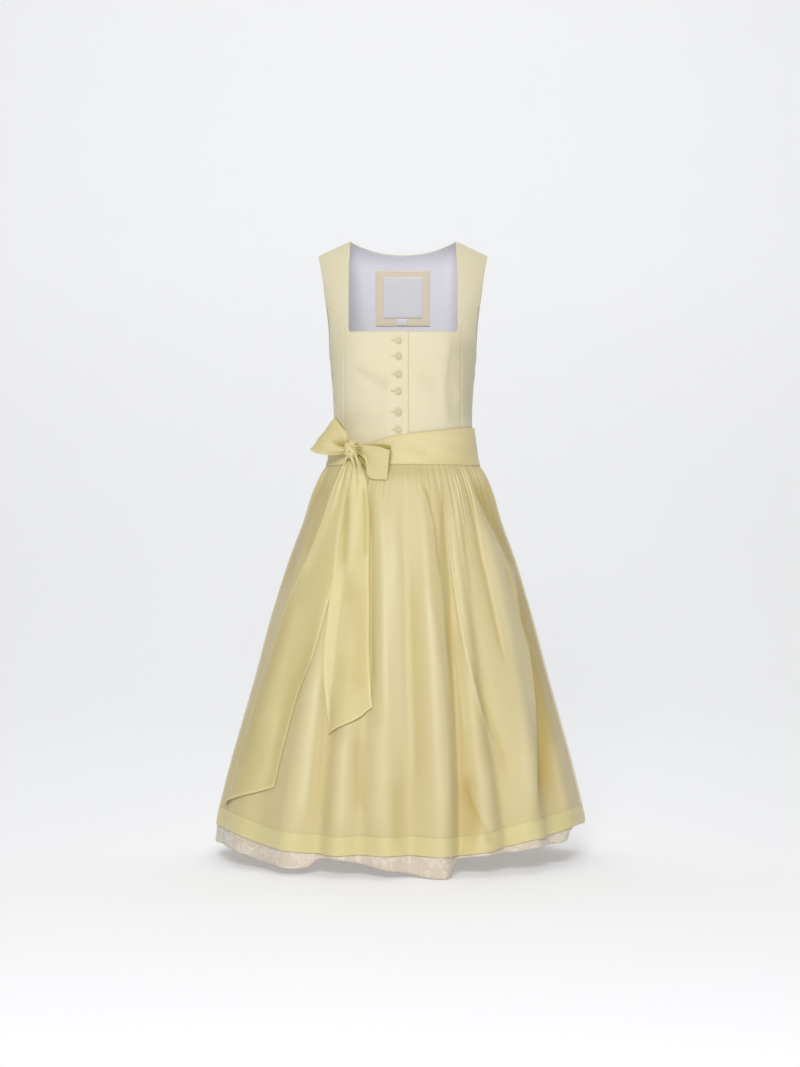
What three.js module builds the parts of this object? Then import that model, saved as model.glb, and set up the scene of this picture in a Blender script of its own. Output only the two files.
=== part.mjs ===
import * as THREE from 'three';
import { mergeVertices } from 'three/addons/utils/BufferGeometryUtils.js';

// Dirndl dress: a sleeveless bodice with a square neck, a gathered skirt, and an apron with its sash and bow.
// Millimetres, +Z up, front towards -Y, the wearer's left at +X. The origin lies midway between the tops of
// the two shoulder straps, where the wearer's shoulders hold the dress up.
// Angles run round the body in degrees, 0 at the centre front, 90 at the wearer's left side, 180 at the back.

// Cloth walls, the clearances between them, and how far the sash's cloth swells between its edges
const WALL = { bodice: 2, lining: 1, label: 0.8, skirt: 1.6, apron: 1.2, sash: 1.6, tail: 1.2, loop: 1.2 };
const SEAM = 0.3;
const SEAM_ASIDE = 0.25;
const LINING_GAP = 0.5;
const LABEL_GAP = 1.2;
const APRON_GAP = 1;
const BAND_GAP = 3.2;
const SWELL = 0.8;
const OVERLAP_GAP = 0.6;

// Heights on the body
const SHOULDER = -0.0003;
const NECKLINE = -173;
const SEAM_TOP = -122;
const UNDERARM = -212;
const BODICE_HEM = -368;
const SKIRT_TOP = BODICE_HEM - SEAM;
const BAND_BOTTOM = -407;
const APRON_TOP = BAND_BOTTOM - SEAM;
const GATHER_END = -500;

// Widths of the bodice, from the centre
const STRAP_INNER = 94;
const STRAP_OUTER = 152;
const SHOULDER_DROP = 27;
const SLOPE_END = -130;
const BACK_NECK_DROP = 18;
const CORNER_RADIUS = 7;
const SIDE_SEAM = 90;

// The button edge: the right front lies over the left front
const EDGE_X = 9;
const UNDER_X = -16;
const LIFT_FROM = -48;
const LIFT_TO = -20;

const APRON_EDGE = 96;
const HEM_BAND = 31;
const HEM_RAISE = 0.8;
const HEM_SHIFT = -5;

const BUTTON = { radius: 6, height: 2.6, rim: 1.1, x: -8 };

// Each button's height, and how far its back stands off the panel's curve to lie on the panel's facets
const BUTTONS = [
  { level: -190, seat: -0.05 }, { level: -217, seat: -0.25 }, { level: -248, seat: 0.45 },
  { level: -277, seat: 0.45 }, { level: -314, seat: 0.85 }, { level: -345, seat: 0.45 },
];
const BUST = { x: 82, level: -195, width: 46, height: 44, out: 8 };

// Cross-sections: half width, depth to the front and to the back, and the exponent that squares the oval
const SECTIONS = [
  { level: 0, half: 165, front: 0, back: 0, square: 2.5 },
  { level: -12, half: 162, front: 30, back: 45, square: 2.5 },
  { level: -30, half: 160, front: 48, back: 66, square: 2.5 },
  { level: -60, half: 157, front: 66, back: 80, square: 2.5 },
  { level: -100, half: 152, front: 86, back: 92, square: 2.5 },
  { level: -130, half: 147, front: 97, back: 97, square: 2.5 },
  { level: -165, half: 140, front: 106, back: 100, square: 2.5 },
  { level: -205, half: 133, front: 108, back: 100, square: 2.5 },
  { level: -255, half: 127.5, front: 102, back: 96, square: 2.4 },
  { level: -330, half: 124, front: 94, back: 88, square: 2.3 },
  { level: -368, half: 127, front: 96, back: 89, square: 2.3 },
  { level: -401, half: 133, front: 100, back: 93, square: 2.2 },
  { level: -428, half: 147, front: 116, back: 106, square: 2.1 },
  { level: -460, half: 161, front: 125, back: 115, square: 2.1 },
  { level: -502, half: 174, front: 136, back: 126, square: 2.1 },
  { level: -569, half: 199, front: 151, back: 141, square: 2 },
  { level: -670, half: 230, front: 171, back: 162, square: 2 },
  { level: -765, half: 256, front: 188, back: 180, square: 2 },
  { level: -855, half: 281, front: 203, back: 196, square: 2 },
  { level: -950, half: 307, front: 217, back: 212, square: 2 },
  { level: -1050, half: 329, front: 230, back: 227, square: 2 },
  { level: -1110, half: 336, front: 236, back: 233, square: 2 },
];

// The curved seam between front and side front, and the one between side back and centre back
const FRONT_SEAM = [
  { level: -368, x: 105 }, { level: -250, x: 105 }, { level: -173, x: 104 }, { level: -158, x: 107 },
  { level: -145, x: 114 }, { level: -133, x: 124 }, { level: -122, x: 137 },
];
const BACK_SEAM = [
  { level: -368, x: 46 }, { level: -250, x: 58 }, { level: -190, x: 76 }, { level: -158, x: 94 },
  { level: -145, x: 104 }, { level: -133, x: 117 }, { level: -122, x: 137 },
];
const SEAM_LEVELS = [-368, -340, -308, -274, -240, -206, -173, -155, -138, -122];
const STRAP_LEVELS = [-95, -64, -36, -15, -3, SHOULDER];
const STRAP_EDGE = [
  { level: -122, x: 137 }, { level: -100, x: 139.5 }, { level: -68, x: 142.5 }, { level: -30, x: 147.5 },
  { level: -12, x: 150.5 }, { level: 0, x: STRAP_OUTER },
];

// The sash band's upper edge round the waist: it dips under the bow at the wearer's right front
const BAND_EDGE = [
  { angle: -180, top: -338 }, { angle: -135, top: -341 }, { angle: -90, top: -352 },
  { angle: -60, top: -366 }, { angle: -39, top: -371 }, { angle: -25, top: -366 },
  { angle: -11, top: -357 }, { angle: 8, top: -350.5 }, { angle: 33, top: -344.5 },
  { angle: 60, top: -339 }, { angle: 90, top: -337.5 }, { angle: 180, top: -338 },
];

// Hem heights round the dress
const APRON_HEM = [
  { angle: -96, z: -1047 }, { angle: -84, z: -1047 }, { angle: -66, z: -1046 }, { angle: -60, z: -1048 },
  { angle: -48, z: -1060 }, { angle: -36, z: -1065 }, { angle: -24, z: -1071 }, { angle: -6, z: -1069 },
  { angle: 12, z: -1070 }, { angle: 19, z: -1073 }, { angle: 24, z: -1067 }, { angle: 36, z: -1060 },
  { angle: 42, z: -1050 }, { angle: 54, z: -1048 }, { angle: 66, z: -1040 }, { angle: 78, z: -1043 },
  { angle: 90, z: -1046 }, { angle: 96, z: -1047 },
];
const SKIRT_HEM = [
  { angle: -180, z: -1092 }, { angle: -140, z: -1086 }, { angle: -90, z: -1078 }, { angle: -66, z: -1075 },
  { angle: -54, z: -1083 }, { angle: -48, z: -1090 }, { angle: -40, z: -1093 }, { angle: -31, z: -1096 },
  { angle: -28.5, z: -1094 }, { angle: -26.5, z: -1082 }, { angle: -20, z: -1077 }, { angle: -12, z: -1085 },
  { angle: 0, z: -1097 }, { angle: 8, z: -1106 }, { angle: 13, z: -1106 }, { angle: 18, z: -1082 },
  { angle: 24, z: -1073 }, { angle: 36, z: -1072 }, { angle: 42, z: -1065 }, { angle: 58, z: -1065 },
  { angle: 61, z: -1062 }, { angle: 64, z: -1046 }, { angle: 70, z: -1040 }, { angle: 84, z: -1042 },
  { angle: 96, z: -1044 }, { angle: 108, z: -1062 }, { angle: 120, z: -1076 }, { angle: 140, z: -1084 },
  { angle: 180, z: -1092 },
];

// The skirt's large folds: where each starts and runs out to at the hem, its depth there (a ridge is
// positive, a trough negative) and its half width in degrees
const FOLDS = [
  { from: -470, top: -62, hem: -60, depth: 3, width: 7 },
  { from: -470, top: -50, hem: -49, depth: -6, width: 5 },
  { from: -480, top: -36, hem: -35, depth: 13, width: 5 },
  { from: -520, top: -28, hem: -26, depth: -15, width: 4 },
  { from: -520, top: -21, hem: -19, depth: 7, width: 3.5 },
  { from: -520, top: -14, hem: -12, depth: -9, width: 3.5 },
  { from: -430, top: -8, hem: -4, depth: 9, width: 4 },
  { from: -430, top: 0.5, hem: 3, depth: -9, width: 3.5 },
  { from: -420, top: 12, hem: 12, depth: 19, width: 4.5 },
  { from: -420, top: 26, hem: 18.5, depth: -22, width: 3.5 },
  { from: -480, top: 30, hem: 25, depth: 9, width: 4 },
  { from: -500, top: 31, hem: 35, depth: -15, width: 4 },
  { from: -440, top: 50, hem: 43, depth: 14, width: 6 },
  { from: -520, top: 63, hem: 53, depth: -9, width: 6 },
  { from: -560, top: 70, hem: 64, depth: 4, width: 6 },
  { from: -500, top: 80, hem: 77, depth: -4, width: 6 },
  { from: -440, top: 103, hem: 101, depth: 11, width: 7 },
  { from: -430, top: 118, hem: 117, depth: -15, width: 6 },
  { from: -430, top: 132, hem: 131, depth: 13, width: 6 },
  { from: -440, top: 146, hem: 147, depth: -16, width: 6 },
  { from: -420, top: 160, hem: 161, depth: 13, width: 6 },
  { from: -450, top: 175, hem: 174, depth: -14, width: 6 },
  { from: -430, top: 191, hem: 190, depth: 15, width: 7 },
  { from: -430, top: 205, hem: 206, depth: -15, width: 6 },
  { from: -440, top: 219, hem: 220, depth: 12, width: 6 },
  { from: -430, top: 233, hem: 232, depth: -14, width: 6 },
  { from: -440, top: 250, hem: 250, depth: 10, width: 7 },
  { from: -470, top: 283, hem: 284, depth: -8, width: 6 },
];
const FOLD_GROWTH = 0.75;
const FOLD_END = -1070;
const FOLD_LIMIT = 1.05;

// Fine gathers: their number along an edge, and how far they stand out at each height
const APRON_GATHERS = 66;
const BACK_GATHERS = 36;
const GATHER_RISE = [
  { level: -407, rise: 0.6 }, { level: -413, rise: 2 }, { level: -424, rise: 2.5 },
  { level: -440, rise: 2.1 }, { level: -466, rise: 1.3 }, { level: GATHER_END, rise: 0 },
];

// The sash tails: the angle and height of each row's outer and inner end
const LONG_TAIL = [
  { a: -43.6, za: -397.5, b: -39.6, zb: -397.5 }, { a: -45, za: -415, b: -38, zb: -415 },
  { a: -45, za: -443, b: -35.5, zb: -443 }, { a: -49, za: -487, b: -33, zb: -487 },
  { a: -56, za: -574, b: -32, zb: -574 }, { a: -62.5, za: -650, b: -34, zb: -650 },
  { a: -65, za: -738, b: -36, zb: -735 }, { a: -71, za: -827, b: -41, zb: -812 },
  { a: -75, za: -925, b: -43, zb: -890 }, { a: -79, za: -1011, b: -44, zb: -964 },
];
const SHORT_TAIL = [
  { a: -39, za: -397.5, b: -34.6, zb: -397.5 }, { a: -38.6, za: -415, b: -31, zb: -415 },
  { a: -38, za: -443, b: -23, zb: -443 }, { a: -37, za: -520, b: -18.4, zb: -520 },
  { a: -34.5, za: -600, b: -16, zb: -600 }, { a: -33.4, za: -660, b: -14.5, zb: -655 },
  { a: -32.5, za: -735, b: -13.4, zb: -715 }, { a: -29.5, za: -815, b: -11.5, zb: -780 },
  { a: -26, za: -872, b: -9.7, zb: -823 },
];
const TAIL_OUT = { long: 5.6, short: 8.4 };

// The bow: its knot on the band, and the ribbon's stations from the knot out to the loop's fold and back.
// reach is the distance from the knot, z the height over it and off the distance in front of its plane,
// for the ribbon's upper and lower edge
const KNOT = { angle: -38.5, level: -380, wide: 13, deep: 10, high: 17, creases: 7, crease: 0.09 };
const LOOP_CREASES = 3;
const LOOP_LEFT = {
  turn: 155,
  stations: [
    { upReach: 12.7, upZ: 11, upOff: 1, lowReach: 12.7, lowZ: -6, lowOff: 1 },
    { upReach: 3, upZ: 29, upOff: 5, lowReach: 34, lowZ: -10, lowOff: 5 },
    { upReach: 15, upZ: 43, upOff: 7, lowReach: 60, lowZ: -7, lowOff: 8 },
    { upReach: 30, upZ: 56, upOff: 4, lowReach: 79, lowZ: 0, lowOff: 4 },
    { upReach: 29, upZ: 54, upOff: -3, lowReach: 76, lowZ: 0, lowOff: -4 },
    { upReach: 14, upZ: 38, upOff: -1, lowReach: 50, lowZ: -6, lowOff: -3 },
    { upReach: 12.7, upZ: 9, upOff: -3, lowReach: 12.7, lowZ: -5, lowOff: -3 },
  ],
};
const LOOP_RIGHT = {
  turn: -17,
  stations: [
    { upReach: 12.7, upZ: 6, upOff: 3, lowReach: 12.7, lowZ: -6, lowOff: 3 },
    { upReach: 32, upZ: 7, upOff: 7, lowReach: 31, lowZ: -34, lowOff: 13 },
    { upReach: 54, upZ: 5, upOff: 9, lowReach: 45, lowZ: -54, lowOff: 20 },
    { upReach: 71, upZ: 0, upOff: 7, lowReach: 68, lowZ: -54, lowOff: 20 },
    { upReach: 70, upZ: 5, upOff: 0, lowReach: 66, lowZ: -52, lowOff: 13 },
    { upReach: 48, upZ: 7, upOff: 1, lowReach: 38, lowZ: -46, lowOff: 12 },
    { upReach: 12.7, upZ: 4, upOff: -2, lowReach: 12.7, lowZ: -4, lowOff: -2 },
  ],
};

// The square patch behind the neck label, and the labels on it, as spans across and down the back
const PATCH = { left: -51, right: 50, top: -43, bottom: -144 };
const NECK_LABEL = { left: -36, right: 36, top: -54, bottom: -129 };
const SIZE_LABEL = { left: -12, right: 8, top: -130, bottom: -142 };

const COLOUR = {
  bodice: 0xe7deba, lining: 0xd6d1dc, patch: 0xdccdae, label: 0xe3e2e6, button: 0xdccfa4, skirt: 0xe8dacb,
  apron: 0xe2d49f, sash: 0xdfd196,
};

const radians = THREE.MathUtils.degToRad;
const mix = THREE.MathUtils.lerp;
const smooth = THREE.MathUtils.smoothstep;

// A smooth curve through a table's rows that never overshoots them: returns a column's value at a key
function tableCurve(rows, key, column, stretch = (value) => value) {
  const order = [...rows].sort((a, b) => stretch(a[key]) - stretch(b[key]));
  const at = order.map((row) => stretch(row[key]));
  const value = order.map((row) => row[column]);
  const rise = value.slice(1).map((v, i) => (v - value[i]) / (at[i + 1] - at[i]));
  const slope = value.map((v, i) => {
    if (i === 0) return rise[0];
    if (i === rise.length) return rise[i - 1];
    return rise[i - 1] * rise[i] <= 0 ? 0 : 2 / (1 / rise[i - 1] + 1 / rise[i]);
  });
  return (query) => {
    const q = THREE.MathUtils.clamp(stretch(query), at[0], at[at.length - 1]);
    let i = 0;
    while (i < at.length - 2 && q > at[i + 1]) i += 1;
    const span = at[i + 1] - at[i];
    const t = (q - at[i]) / span;
    const inverse = 1 - t;
    return (1 + 2 * t) * inverse * inverse * value[i] + t * inverse * inverse * span * slope[i]
      + t * t * (3 - 2 * t) * value[i + 1] - t * t * inverse * span * slope[i + 1];
  };
}

// Steps down the body are taken by the root of the height, so that the shoulder rounds over at the top
const runOf = (level) => Math.sqrt(Math.max(0, -level));
const section = Object.fromEntries(['half', 'front', 'back', 'square']
  .map((column) => [column, tableCurve(SECTIONS, 'level', column, runOf)]));
const frontSeamX = tableCurve(FRONT_SEAM, 'level', 'x');
const backSeamX = tableCurve(BACK_SEAM, 'level', 'x');
const strapEdgeX = tableCurve(STRAP_EDGE, 'level', 'x', (level) => -runOf(level));
const bandTop = tableCurve(BAND_EDGE, 'angle', 'top');
const apronHem = tableCurve(APRON_HEM, 'angle', 'z');
const skirtHem = tableCurve(SKIRT_HEM, 'angle', 'z');
const gatherRise = tableCurve(GATHER_RISE, 'level', 'rise');

const wrap = (angle) => THREE.MathUtils.euclideanModulo(angle + 180, 360) - 180;

// How far the large folds push the skirt out at an angle and height
function foldDepth(angle, level) {
  let depth = 0;
  for (const fold of FOLDS) {
    if (level > fold.from) continue;
    const share = (fold.from - level) / (fold.from - FOLD_END);
    const centre = mix(fold.top, fold.hem, Math.min(1, share));
    const across = wrap(angle - centre) / fold.width;
    depth += fold.depth * Math.min(FOLD_LIMIT, share) ** FOLD_GROWTH * Math.exp(-across * across);
  }
  return depth;
}

// A point of the dress's main form, at an angle round the body and a height
function basePoint(angle, level) {
  const a = radians(angle);
  const square = section.square(level);
  const norm = (Math.abs(Math.sin(a)) ** square + Math.abs(Math.cos(a)) ** square) ** (1 / square);
  const across = Math.sin(a) / norm;
  const along = -Math.cos(a) / norm;
  const x = section.half(level) * across;
  const depth = along < 0 ? section.front(level) : section.back(level);
  const slope = Math.max(0, 1 - level / SLOPE_END) * SHOULDER_DROP / (STRAP_OUTER - STRAP_INNER);
  const point = new THREE.Vector3(x, depth * along, level - slope * Math.max(0, Math.abs(x) - STRAP_INNER));
  if (level > BODICE_HEM) point.y -= bustDepth(x, level, along);
  else point.add(new THREE.Vector3(across, along, 0).normalize().multiplyScalar(foldDepth(angle, level)));
  point.x += HEM_SHIFT * smooth(-level, -BAND_BOTTOM, -SECTIONS.at(-1).level);
  return point;
}

function bustDepth(x, level, along) {
  const across = (Math.abs(x) - BUST.x) / BUST.width;
  const up = (level - BUST.level) / BUST.height;
  return Math.max(0, -along) * BUST.out * Math.exp(-across * across - up * up);
}

// The same point moved out from the form's surface by a distance
function bodyPoint(angle, level, out = 0) {
  const run = Math.max(runOf(level), 0.02);
  const step = 0.01;
  const turn = 0.3;
  const levelAt = (r) => -r * r;
  const round = basePoint(angle + turn, level).sub(basePoint(angle - turn, level));
  const down = basePoint(angle, levelAt(run + step)).sub(basePoint(angle, levelAt(run - step)));
  const normal = down.cross(round).normalize();
  return basePoint(angle, level).addScaledVector(normal, out);
}

// The angle of a point x millimetres from the centre, on the front or the back of the body
function angleAt(x, level, onBack = false) {
  const square = section.square(level);
  const share = Math.min(1, Math.abs(x) / section.half(level));
  const angle = THREE.MathUtils.radToDeg(Math.atan2(share, (1 - share ** square) ** (1 / square)));
  return (x < 0 ? -1 : 1) * (onBack ? 180 - angle : angle);
}

// Collects a solid's triangles
class Surface {
  constructor() {
    this.points = [];
  }

  triangle(a, b, c) {
    this.points.push(a, b, c);
  }

  quad(a, b, c, d) {
    this.triangle(a, b, c);
    this.triangle(a, c, d);
  }

  // Fills the strip between two rows of points, each with its own spacing along the row. turned faces the
  // triangles the other way.
  zip(low, high, turned = false) {
    const facing = turned ? (a, b, c) => this.triangle(a, c, b) : (a, b, c) => this.triangle(a, b, c);
    let i = 0;
    let j = 0;
    while (i < low.length - 1 || j < high.length - 1) {
      const lowNext = i < low.length - 1 ? low[i + 1].at : Infinity;
      const highNext = j < high.length - 1 ? high[j + 1].at : Infinity;
      if (lowNext <= highNext) {
        facing(low[i].point, low[i + 1].point, high[j].point);
        i += 1;
      } else {
        facing(low[i].point, high[j + 1].point, high[j].point);
        j += 1;
      }
    }
  }

  geometry() {
    const geometry = new THREE.BufferGeometry().setFromPoints(this.points);
    return mergeVertices(geometry, 1e-4);
  }
}

// A cloth wall from a grid of points at its two faces. keep says which cells of the grid are cloth, and a
// ring joins each row's last point to its first.
function clothWall(rows, columns, pointAt, { ring = false, keep = () => true } = {}) {
  const surface = new Surface();
  const width = ring ? columns : columns - 1;
  const gridRow = (r) => Array.from({ length: columns }, (_, c) => pointAt(r, c));
  const grid = Array.from({ length: rows }, (_, r) => gridRow(r));
  const corner = (r, c, face) => grid[r][c % columns][face];
  const isCloth = (r, c) => {
    if (r < 0 || r >= rows - 1) return false;
    if (ring) return keep(r, (c + width) % width);
    return c >= 0 && c < width && keep(r, c);
  };
  for (let r = 0; r < rows - 1; r += 1) {
    for (let c = 0; c < width; c += 1) {
      if (!isCloth(r, c)) continue;
      const [outer, inner] = ['outer', 'inner'].map((face) => [corner(r, c, face), corner(r, c + 1, face),
        corner(r + 1, c + 1, face), corner(r + 1, c, face)]);
      surface.quad(...outer);
      surface.quad(inner[0], inner[3], inner[2], inner[1]);
      const sides = [isCloth(r - 1, c), isCloth(r, c + 1), isCloth(r + 1, c), isCloth(r, c - 1)];
      sides.forEach((joined, side) => {
        if (joined) return;
        const next = (side + 1) % 4;
        surface.quad(outer[side], inner[side], inner[next], outer[next]);
      });
    }
  }
  return surface.geometry();
}

// Rows run up the body and columns towards the wearer's left, which turns the outer face outwards
function bodyWall(rows, columns, placeAt, out, wall, options) {
  return clothWall(rows, columns, (r, c) => {
    const { angle, level, lift = 0 } = placeAt(r, c);
    return { outer: bodyPoint(angle, level, out + lift), inner: bodyPoint(angle, level, out + lift - wall) };
  }, options);
}

// The armhole's edge below the strap: a quarter oval from the curved seam's top to the underarm
function armhole(share, seamAngle) {
  const turn = radians(90 * share);
  return {
    angle: mix(seamAngle, SIDE_SEAM, 1 - Math.cos(turn)),
    level: mix(SEAM_TOP, UNDERARM, Math.sin(turn)),
  };
}

// A front panel: its strap columns run to the shoulder, its chest columns stop at the square neckline
function frontPanel(side, inwardX, liftAt) {
  const levels = [...SEAM_LEVELS, ...STRAP_LEVELS];
  const neckRow = levels.indexOf(NECKLINE);
  const strapColumns = [1, 0.66, 0.33, 0];
  const chestX = [STRAP_INNER + 2 - CORNER_RADIUS, 72, 54, 36, 20, ...inwardX];
  const outerX = (level) => (level <= SEAM_TOP ? frontSeamX(level) : strapEdgeX(level)) - SEAM_ASIDE;
  const innerX = (level) => STRAP_INNER + (level < -60 ? 2 : 2 * level / -60);
  const xs = (r) => {
    const level = levels[r];
    const strap = strapColumns.map((share) => mix(innerX(level), outerX(level), share));
    return [...strap, ...chestX].map((x) => x * side);
  };
  const columns = strapColumns.length + chestX.length;
  const place = (r, c) => {
    const column = side < 0 ? c : columns - 1 - c;
    const isCorner = r === neckRow && column === strapColumns.length - 1;
    const soften = isCorner ? CORNER_RADIUS * (1 - Math.SQRT1_2) : 0;
    const level = levels[r] + soften;
    const x = xs(r)[column] - side * soften;
    return { angle: angleAt(x, level), level, lift: liftAt(x) };
  };
  const keep = (r, c) => {
    const column = side < 0 ? c : columns - 2 - c;
    return r < neckRow || column < strapColumns.length - 1;
  };
  return bodyWall(levels.length, columns, place, 0, WALL.bodice, { keep });
}

// The right front rises over the left one before it reaches the button edge
const overlapLift = (x) => (WALL.bodice + OVERLAP_GAP) * smooth(x, LIFT_FROM, LIFT_TO);
const bodiceFrontRight = () => frontPanel(-1, [8, 0, -EDGE_X], overlapLift);
const bodiceFrontLeft = () => frontPanel(1, [8, 0, UNDER_X], () => 0);

// A place on a side panel: share runs from the curved seam at 0 to the side seam at 1
function sidePlace(row, share, onBack) {
  const seamX = onBack ? backSeamX : frontSeamX;
  const gap = THREE.MathUtils.radToDeg(SEAM / 2 / section.half(UNDERARM));
  const level = SEAM_LEVELS[row];
  const seam = Math.abs(angleAt(seamX(level) + SEAM_ASIDE, level, onBack));
  const up = (level - BODICE_HEM) / (SEAM_TOP - BODICE_HEM);
  const edge = armhole(share, seam);
  const across = mix(share, 1 - Math.cos(radians(90 * share)), up);
  return {
    angle: mix(seam, onBack ? SIDE_SEAM + gap : SIDE_SEAM - gap, across),
    level: mix(BODICE_HEM, edge.level, up),
  };
}

// A side panel, between a curved seam and the side seam
function sidePanel(side, onBack) {
  const columns = 6;
  const place = (r, c) => {
    const fromSeam = (side > 0) !== onBack ? c : columns - 1 - c;
    const { angle, level } = sidePlace(r, fromSeam / (columns - 1), onBack);
    return { angle: side * angle, level };
  };
  return bodyWall(SEAM_LEVELS.length, columns, place, 0, WALL.bodice);
}

// A place on the centre back: share runs from -1 at the wearer's right edge to 1 at the left one
const BACK_LEVELS = [...SEAM_LEVELS, ...STRAP_LEVELS];
const BACK_SHARES = [-1, -0.87, -0.74, -0.61, -0.4, -0.2, 0, 0.2, 0.4, 0.61, 0.74, 0.87, 1];

function backPlace(row, share) {
  const at = BACK_LEVELS[row];
  const edge = (at <= SEAM_TOP ? backSeamX(at) : strapEdgeX(at)) - SEAM_ASIDE;
  const neck = Math.max(0, 1 - (share * STRAP_OUTER / STRAP_INNER) ** 2);
  const up = (at - BODICE_HEM) / (SHOULDER - BODICE_HEM);
  const level = mix(BODICE_HEM, SHOULDER - BACK_NECK_DROP * neck, up);
  return { angle: angleAt(share * edge, level, true), level };
}

// The centre back, from the waist to the shoulders, with its shallow neckline
function bodiceBack() {
  const place = (r, c) => backPlace(r, -BACK_SHARES[c]);
  return bodyWall(BACK_LEVELS.length, BACK_SHARES.length, place, 0, WALL.bodice);
}

// The back lining, one piece inside the centre back and both side backs
function backLining() {
  const sideShares = [0.97, 0.8, 0.6, 0.4, 0.2];
  const seamRow = SEAM_LEVELS.length - 1;
  const sideSpot = (side, share) => (r) => {
    const { angle, level } = sidePlace(Math.min(r, seamRow), share, true);
    return { angle: side * angle, level };
  };
  const spots = [
    ...sideShares.map((share) => sideSpot(1, share)),
    ...BACK_SHARES.map((share) => (r) => backPlace(r, -share)),
    ...[...sideShares].reverse().map((share) => sideSpot(-1, share)),
  ];
  const isSide = (c) => c < sideShares.length || c >= sideShares.length + BACK_SHARES.length - 1;
  const keep = (r, c) => r < seamRow || !isSide(c);
  return bodyWall(BACK_LEVELS.length, spots.length, (r, c) => spots[c](r), -WALL.bodice - LINING_GAP,
    WALL.lining, { keep });
}

// A flat label sewn inside the back, which follows the lining
function backLabel({ left, right, top, bottom }, out, wall, columns, rows) {
  const place = (r, c) => {
    const level = mix(bottom, top, r / (rows - 1));
    return { angle: angleAt(mix(right, left, c / (columns - 1)), level, true), level };
  };
  return bodyWall(rows, columns, place, out, wall);
}

// A shank button with a raised rim and a hollow face
function buttonGeometry() {
  const { radius, height, rim } = BUTTON;
  const profile = [
    [0, 0], [radius * 0.8, 0], [radius, height * 0.5], [radius - rim / 2, height],
    [radius - 1.6 * rim, height * 0.7], [0, height * 0.62],
  ].map(([x, y]) => new THREE.Vector2(x, y));
  return new THREE.LatheGeometry(profile, 14);
}

function buttonAt({ level, seat }, index) {
  const angle = angleAt(BUTTON.x, level);
  const out = WALL.bodice + OVERLAP_GAP + seat;
  const back = bodyPoint(angle, level, out);
  const normal = bodyPoint(angle, level, out + 1).sub(back).normalize();
  const button = part(`button_${index + 1}`, buttonGeometry(), 'button', 0.45);
  button.quaternion.setFromUnitVectors(new THREE.Vector3(0, 1, 0), normal);
  button.position.copy(back);
  return button;
}

// Places along a gathered edge: a valley and a crest for each gather, unevenly spaced
function gatherPlaces(from, to, count) {
  return Array.from({ length: 2 * count + 1 }, (_, i) => {
    const isEnd = i === 0 || i === 2 * count;
    const drift = isEnd ? 0 : 0.32 * Math.sin(i * 2.4) + 0.18 * Math.sin(i * 5.1 + 1);
    const uneven = 0.8 + 0.25 * Math.sin(i * 1.7) + 0.15 * Math.sin(i * 0.61);
    return { angle: mix(from, to, (i + drift) / (2 * count)), crest: i % 2 === 1 && !isEnd ? uneven : 0 };
  });
}

// A gathered skirt wall between two angles. Both faces have the large folds. The outer face has the fine
// gathers too, in its rows from gatherFrom down to where they fade out, over a plain inner face.
function gatheredWall({ angles, levels, innerRows, gathers, gatherFrom, out, wall, raise = () => 0 }) {
  const surface = new Surface();
  const plainRow = (r, away) => angles.map((angle) => ({
    at: angle, point: bodyPoint(angle, levels[r](angle), away),
  }));
  const gatheredRow = (r) => gathers.map(({ angle, crest }) => {
    const level = levels[r](angle);
    return { at: angle, point: bodyPoint(angle, level, out + crest * gatherRise(level)) };
  });
  const isGathered = (r) => r >= gatherFrom && levels[r](angles[0]) > GATHER_END;
  const outer = levels.map((_, r) => (isGathered(r) ? gatheredRow(r) : plainRow(r, out + raise(r))));
  const inner = innerRows.map((r) => plainRow(r, out - wall));
  const edge = (face, rowsAt, end) => face.map((row, i) => ({ at: rowsAt[i], point: row.at(end).point }));
  const outerRows = levels.map((_, r) => r);
  for (let r = 0; r < outer.length - 1; r += 1) surface.zip(outer[r + 1], outer[r]);
  for (let r = 0; r < inner.length - 1; r += 1) surface.zip(inner[r + 1], inner[r], true);
  surface.zip(outer[0], inner[0]);
  surface.zip(inner.at(-1), outer.at(-1));
  surface.zip(edge(inner, innerRows, 0), edge(outer, outerRows, 0));
  surface.zip(edge(outer, outerRows, -1), edge(inner, innerRows, -1));
  return surface.geometry();
}

// Heights of the apron's rows, as shares of the way from its top to its hem
const APRON_ROWS = [0, 0.009, 0.026, 0.055, 0.1, 0.18, 0.3, 0.44, 0.59, 0.75, 0.88];
const hemOf = (angle) => (Math.abs(wrap(angle)) <= APRON_EDGE ? apronHem(wrap(angle))
  : skirtHem(wrap(angle)) + HEM_BAND);
const apronLevels = APRON_ROWS.map((share) => (angle) => mix(APRON_TOP, hemOf(angle), share));

// The columns that the skirt's front and the apron share, so that the apron lies evenly on the skirt
const FRONT_COLUMNS = 50;
const BACK_COLUMNS = 36;
const evenAngles = (from, to, count) => Array.from({ length: count + 1 }, (_, i) => mix(from, to, i / count));

function apron() {
  const bandTopRow = (angle) => hemOf(angle) + HEM_BAND;
  const bandRow = (angle) => bandTopRow(angle) - 2;
  const levels = [...apronLevels, bandTopRow, bandRow, hemOf];
  return gatheredWall({
    angles: [-APRON_EDGE, ...evenAngles(-SIDE_SEAM, SIDE_SEAM, FRONT_COLUMNS), APRON_EDGE],
    gathers: gatherPlaces(-APRON_EDGE, APRON_EDGE, APRON_GATHERS),
    gatherFrom: 0,
    levels,
    innerRows: [0, 1, 2, 3, 4, 5, 6, 7, 8, 9, 10, 11, 13],
    out: APRON_GAP + WALL.apron,
    wall: WALL.apron,
    raise: (r) => (r >= levels.length - 2 ? HEM_RAISE : 0),
  });
}

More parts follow.
